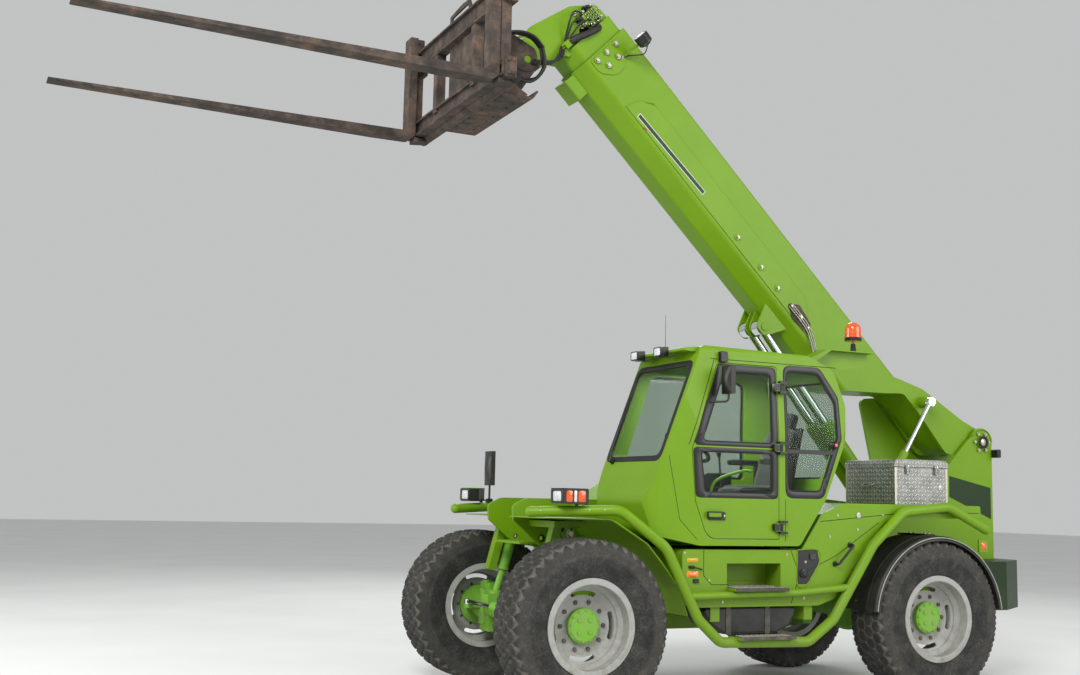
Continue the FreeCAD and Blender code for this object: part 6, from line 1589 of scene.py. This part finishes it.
# %% [markdown]
# Inside the cab the seat is the one soft thing. Its cushion, its back and its head rest start as
# rounded blocks, a little smaller than the CAD seat, and become one closed skin. Cloth under slight
# inner pressure then swells it, so that the middles crown and the edges pull in. No point may move
# more than 14 mm. Piping along the cushion's borders comes after it.

# %% Seat


def rounded_block(centre, along, across, up, halves, power=0.30, steps=40):
    """Superellipsoid: each direction is a half size times a sine or cosine raised to a small power."""
    a = np.linspace(-np.pi / 2, np.pi / 2, steps)[:, None]
    b = np.linspace(-np.pi, np.pi, steps * 2, endpoint=False)[None, :]
    bend = lambda value: np.sign(value) * np.abs(value) ** power
    x = bend(np.cos(a)) * bend(np.cos(b))
    y = bend(np.cos(a)) * bend(np.sin(b))
    z = bend(np.sin(a)) * np.ones_like(b)
    shape = np.asarray(centre)
    for half, value, way in zip(halves, (x, y, z), (along, across, up)):
        shape = shape + half * value[..., None] * np.asarray(way)
    return shape.reshape(-1, 3), grid_faces(steps, steps * 2, loop_columns=True)


def swollen(piece, voxel, cap, frames=20):
    """Remeshes the piece, lets cloth under pressure swell it, and keeps each point within cap of its start."""
    skin = piece.modifiers.new("skin", "REMESH")
    skin.mode = "VOXEL"
    skin.voxel_size = voxel
    graph = bpy.context.evaluated_depsgraph_get()
    piece.data = bpy.data.meshes.new_from_object(piece.evaluated_get(graph))
    piece.modifiers.clear()
    start = np.empty(len(piece.data.vertices) * 3)
    piece.data.vertices.foreach_get("co", start)
    cloth = piece.modifiers.new("cloth", "CLOTH")
    cloth.settings.use_pressure = True
    cloth.settings.uniform_pressure_force = 4.0
    cloth.settings.quality = 4
    cloth.settings.effector_weights.gravity = 0.0
    for number in range(1, frames + 1):
        scene.frame_set(number)
    graph = bpy.context.evaluated_depsgraph_get()
    end_mesh = piece.evaluated_get(graph).to_mesh()
    end = np.empty_like(start)
    end_mesh.vertices.foreach_get("co", end)
    piece.modifiers.clear()
    move = (end - start).reshape(-1, 3)
    length = np.linalg.norm(move, axis=1, keepdims=True)
    move *= np.minimum(1.0, cap / np.maximum(length, 1e-9))
    piece.data.vertices.foreach_set("co", (start.reshape(-1, 3) + move).ravel())
    piece.data.update()
    scene.frame_set(1)
    return float(np.linalg.norm(move, axis=1).max())


def joined(shapes):
    """One list of points and faces from several."""
    points, faces = [], []
    for p, f in shapes:
        faces += [[k + sum(map(len, points)) for k in face] for face in f]
        points.append(p)
    return np.concatenate(points), faces


back_low, back_high = np.array([1.312, 1.640]), np.array([1.170, 2.140])
rise = (back_high - back_low) / np.linalg.norm(back_high - back_low)
lean_up, lean_out = (rise[0], 0.0, rise[1]), (rise[1], 0.0, -rise[0])
middle = (back_low + back_high) / 2
head = back_high + rise * 0.105
seat_form = joined([
    rounded_block(spot(1.525, 0.635, 1.634), FRONT, LEFT, UP, (0.198, 0.214, 0.052)),
    rounded_block(spot(middle[0], 0.635, middle[1]), lean_out, LEFT, lean_up, (0.046, 0.212, 0.290)),
    rounded_block(spot(head[0], 0.635, head[1]), lean_out, LEFT, lean_up, (0.040, 0.125, 0.080)),
])
seat = make("seat_upholstery", *seat_form, cloth, "machine", 60)
tidy(seat)
moved = swollen(seat, 0.011, 0.014)
seat.data.polygons.foreach_set("use_smooth", np.ones(len(seat.data.polygons), dtype=bool))
soft = seat.modifiers.new("soft", "SUBSURF")
soft.levels = soft.render_levels = 1
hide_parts("seat")
print("seat points", len(seat.data.vertices), "largest move mm", round(moved * 1000, 1))

# %% [markdown]
# The piping is a thin black plastic cord along both sides of the cushion. Behind the seat
# stands its moulded shell, and beside it an arm rest with the boom's lever. The dash has a hooded
# screen, one row of rocker switches, a column sleeve and a thick rim on the wheel.

# %% Piping, shell and levers
for side in (1, -1):
    y = 0.635 + side * 0.205
    loop = [spot(1.340, y, 1.672), spot(1.700, y, 1.672), spot(1.716, y, 1.630), spot(1.700, y, 1.594),
            spot(1.340, y, 1.594)]
    tube(f"cushion_piping_{hand(side)}", smooth_path(loop, 8), 0.0045, black_plastic,
         sides=8)
shell = [(1.235, 1.600), (1.262, 1.604), (1.128, 2.180), (1.098, 2.176)]
slab("seat_shell", [(a, b) for a, b in shell], spot(0, 0.445, 0), FRONT, UP, -0.380, trim_plastic,
     bevel=0.004)
for side, y in ((1, 0.842), (-1, 0.376)):
    tag = hand(side)
    block("arm_rest_" + tag, (1.270, y, 1.868), (1.560, y + 0.052, 1.915), trim_plastic, corner=0.018,
          bevel=0.008)
    block("arm_post_" + tag, (1.262, y + 0.012, 1.640), (1.300, y + 0.040, 1.880), charcoal, corner=0.008,
          bevel=0.003)
tube("boom_lever", smooth_path([spot(1.600, 0.350, 1.560), spot(1.610, 0.350, 1.800), spot(1.622, 0.350,
        1.960)], 6), 0.009, charcoal, sides=12)
turned("lever_grip", [(0, 0), (0.002, 0.015), (0.030, 0.020), (0.075, 0.022), (0.105, 0.026), (0.125, 0.020),
                      (0.132, 0)], spot(1.620, 0.350, 1.930), (0.10, 0, 0.995), trim_plastic, sides=28)
block("lever_console", (1.480, 0.262, 1.300), (1.760, 0.330, 1.800), trim_plastic, corner=0.040, bevel=0.010)
turned("wheel_rim_grip", [(0.017 * math.sin(t), 0.190 + 0.0175 * math.cos(t)) for t in np.linspace(0,
        2 * np.pi, 17)], spot(2.110, 0.635, 1.990),
        (-math.sin(math.radians(33)), 0, math.cos(math.radians(33))), trim_plastic, sides=72)
turned("wheel_boss", [(0, 0), (0, 0.060), (0.014, 0.056), (0.022, 0.030), (0.024, 0)],
       spot(2.110, 0.635, 1.992), (-math.sin(math.radians(33)), 0, math.cos(math.radians(33))), trim_plastic,
       sides=40)
turned("wheel_knob", [(0, 0.010), (0.020, 0.012), (0.040, 0.022), (0.058, 0.018), (0.064, 0)],
       spot(2.110, 0.825, 2.002), (-math.sin(math.radians(33)), 0, math.cos(math.radians(33))), trim_plastic,
       sides=24)
block("dash_hood", (2.225, 0.470, 1.800), (2.395, 0.800, 1.905), trim_plastic, corner=0.030, bevel=0.012)
domed_glass("dash_panel", spot(2.224, 0.635, 1.855), REAR, 0.27, 0.075, screen_glass, dome=0.004)
for k in range(5):
    block(f"dash_rocker_{k}", (2.158, 0.400 + k * 0.034, 1.740), (2.172, 0.426 + k * 0.034, 1.785), charcoal,
          corner=0.003, bevel=0.001)
tube("door_grab_bar", smooth_path([left_wall(2.17, 1.56, -0.050), left_wall(2.165, 1.58, -0.085),
                                   left_wall(2.10, 1.72, -0.095), left_wall(1.86, 1.80, -0.095),
                                   left_wall(1.80, 1.80, -0.050)], 10), 0.012, lime, "door", sides=14)
slab("floor_mat", round_corners([(1.300, 0.20), (2.220, 0.20), (2.220, 1.06), (1.300, 1.06)], 0.04),
     spot(0, 0, 1.2657), FRONT, LEFT, 0.008, hose_rubber)
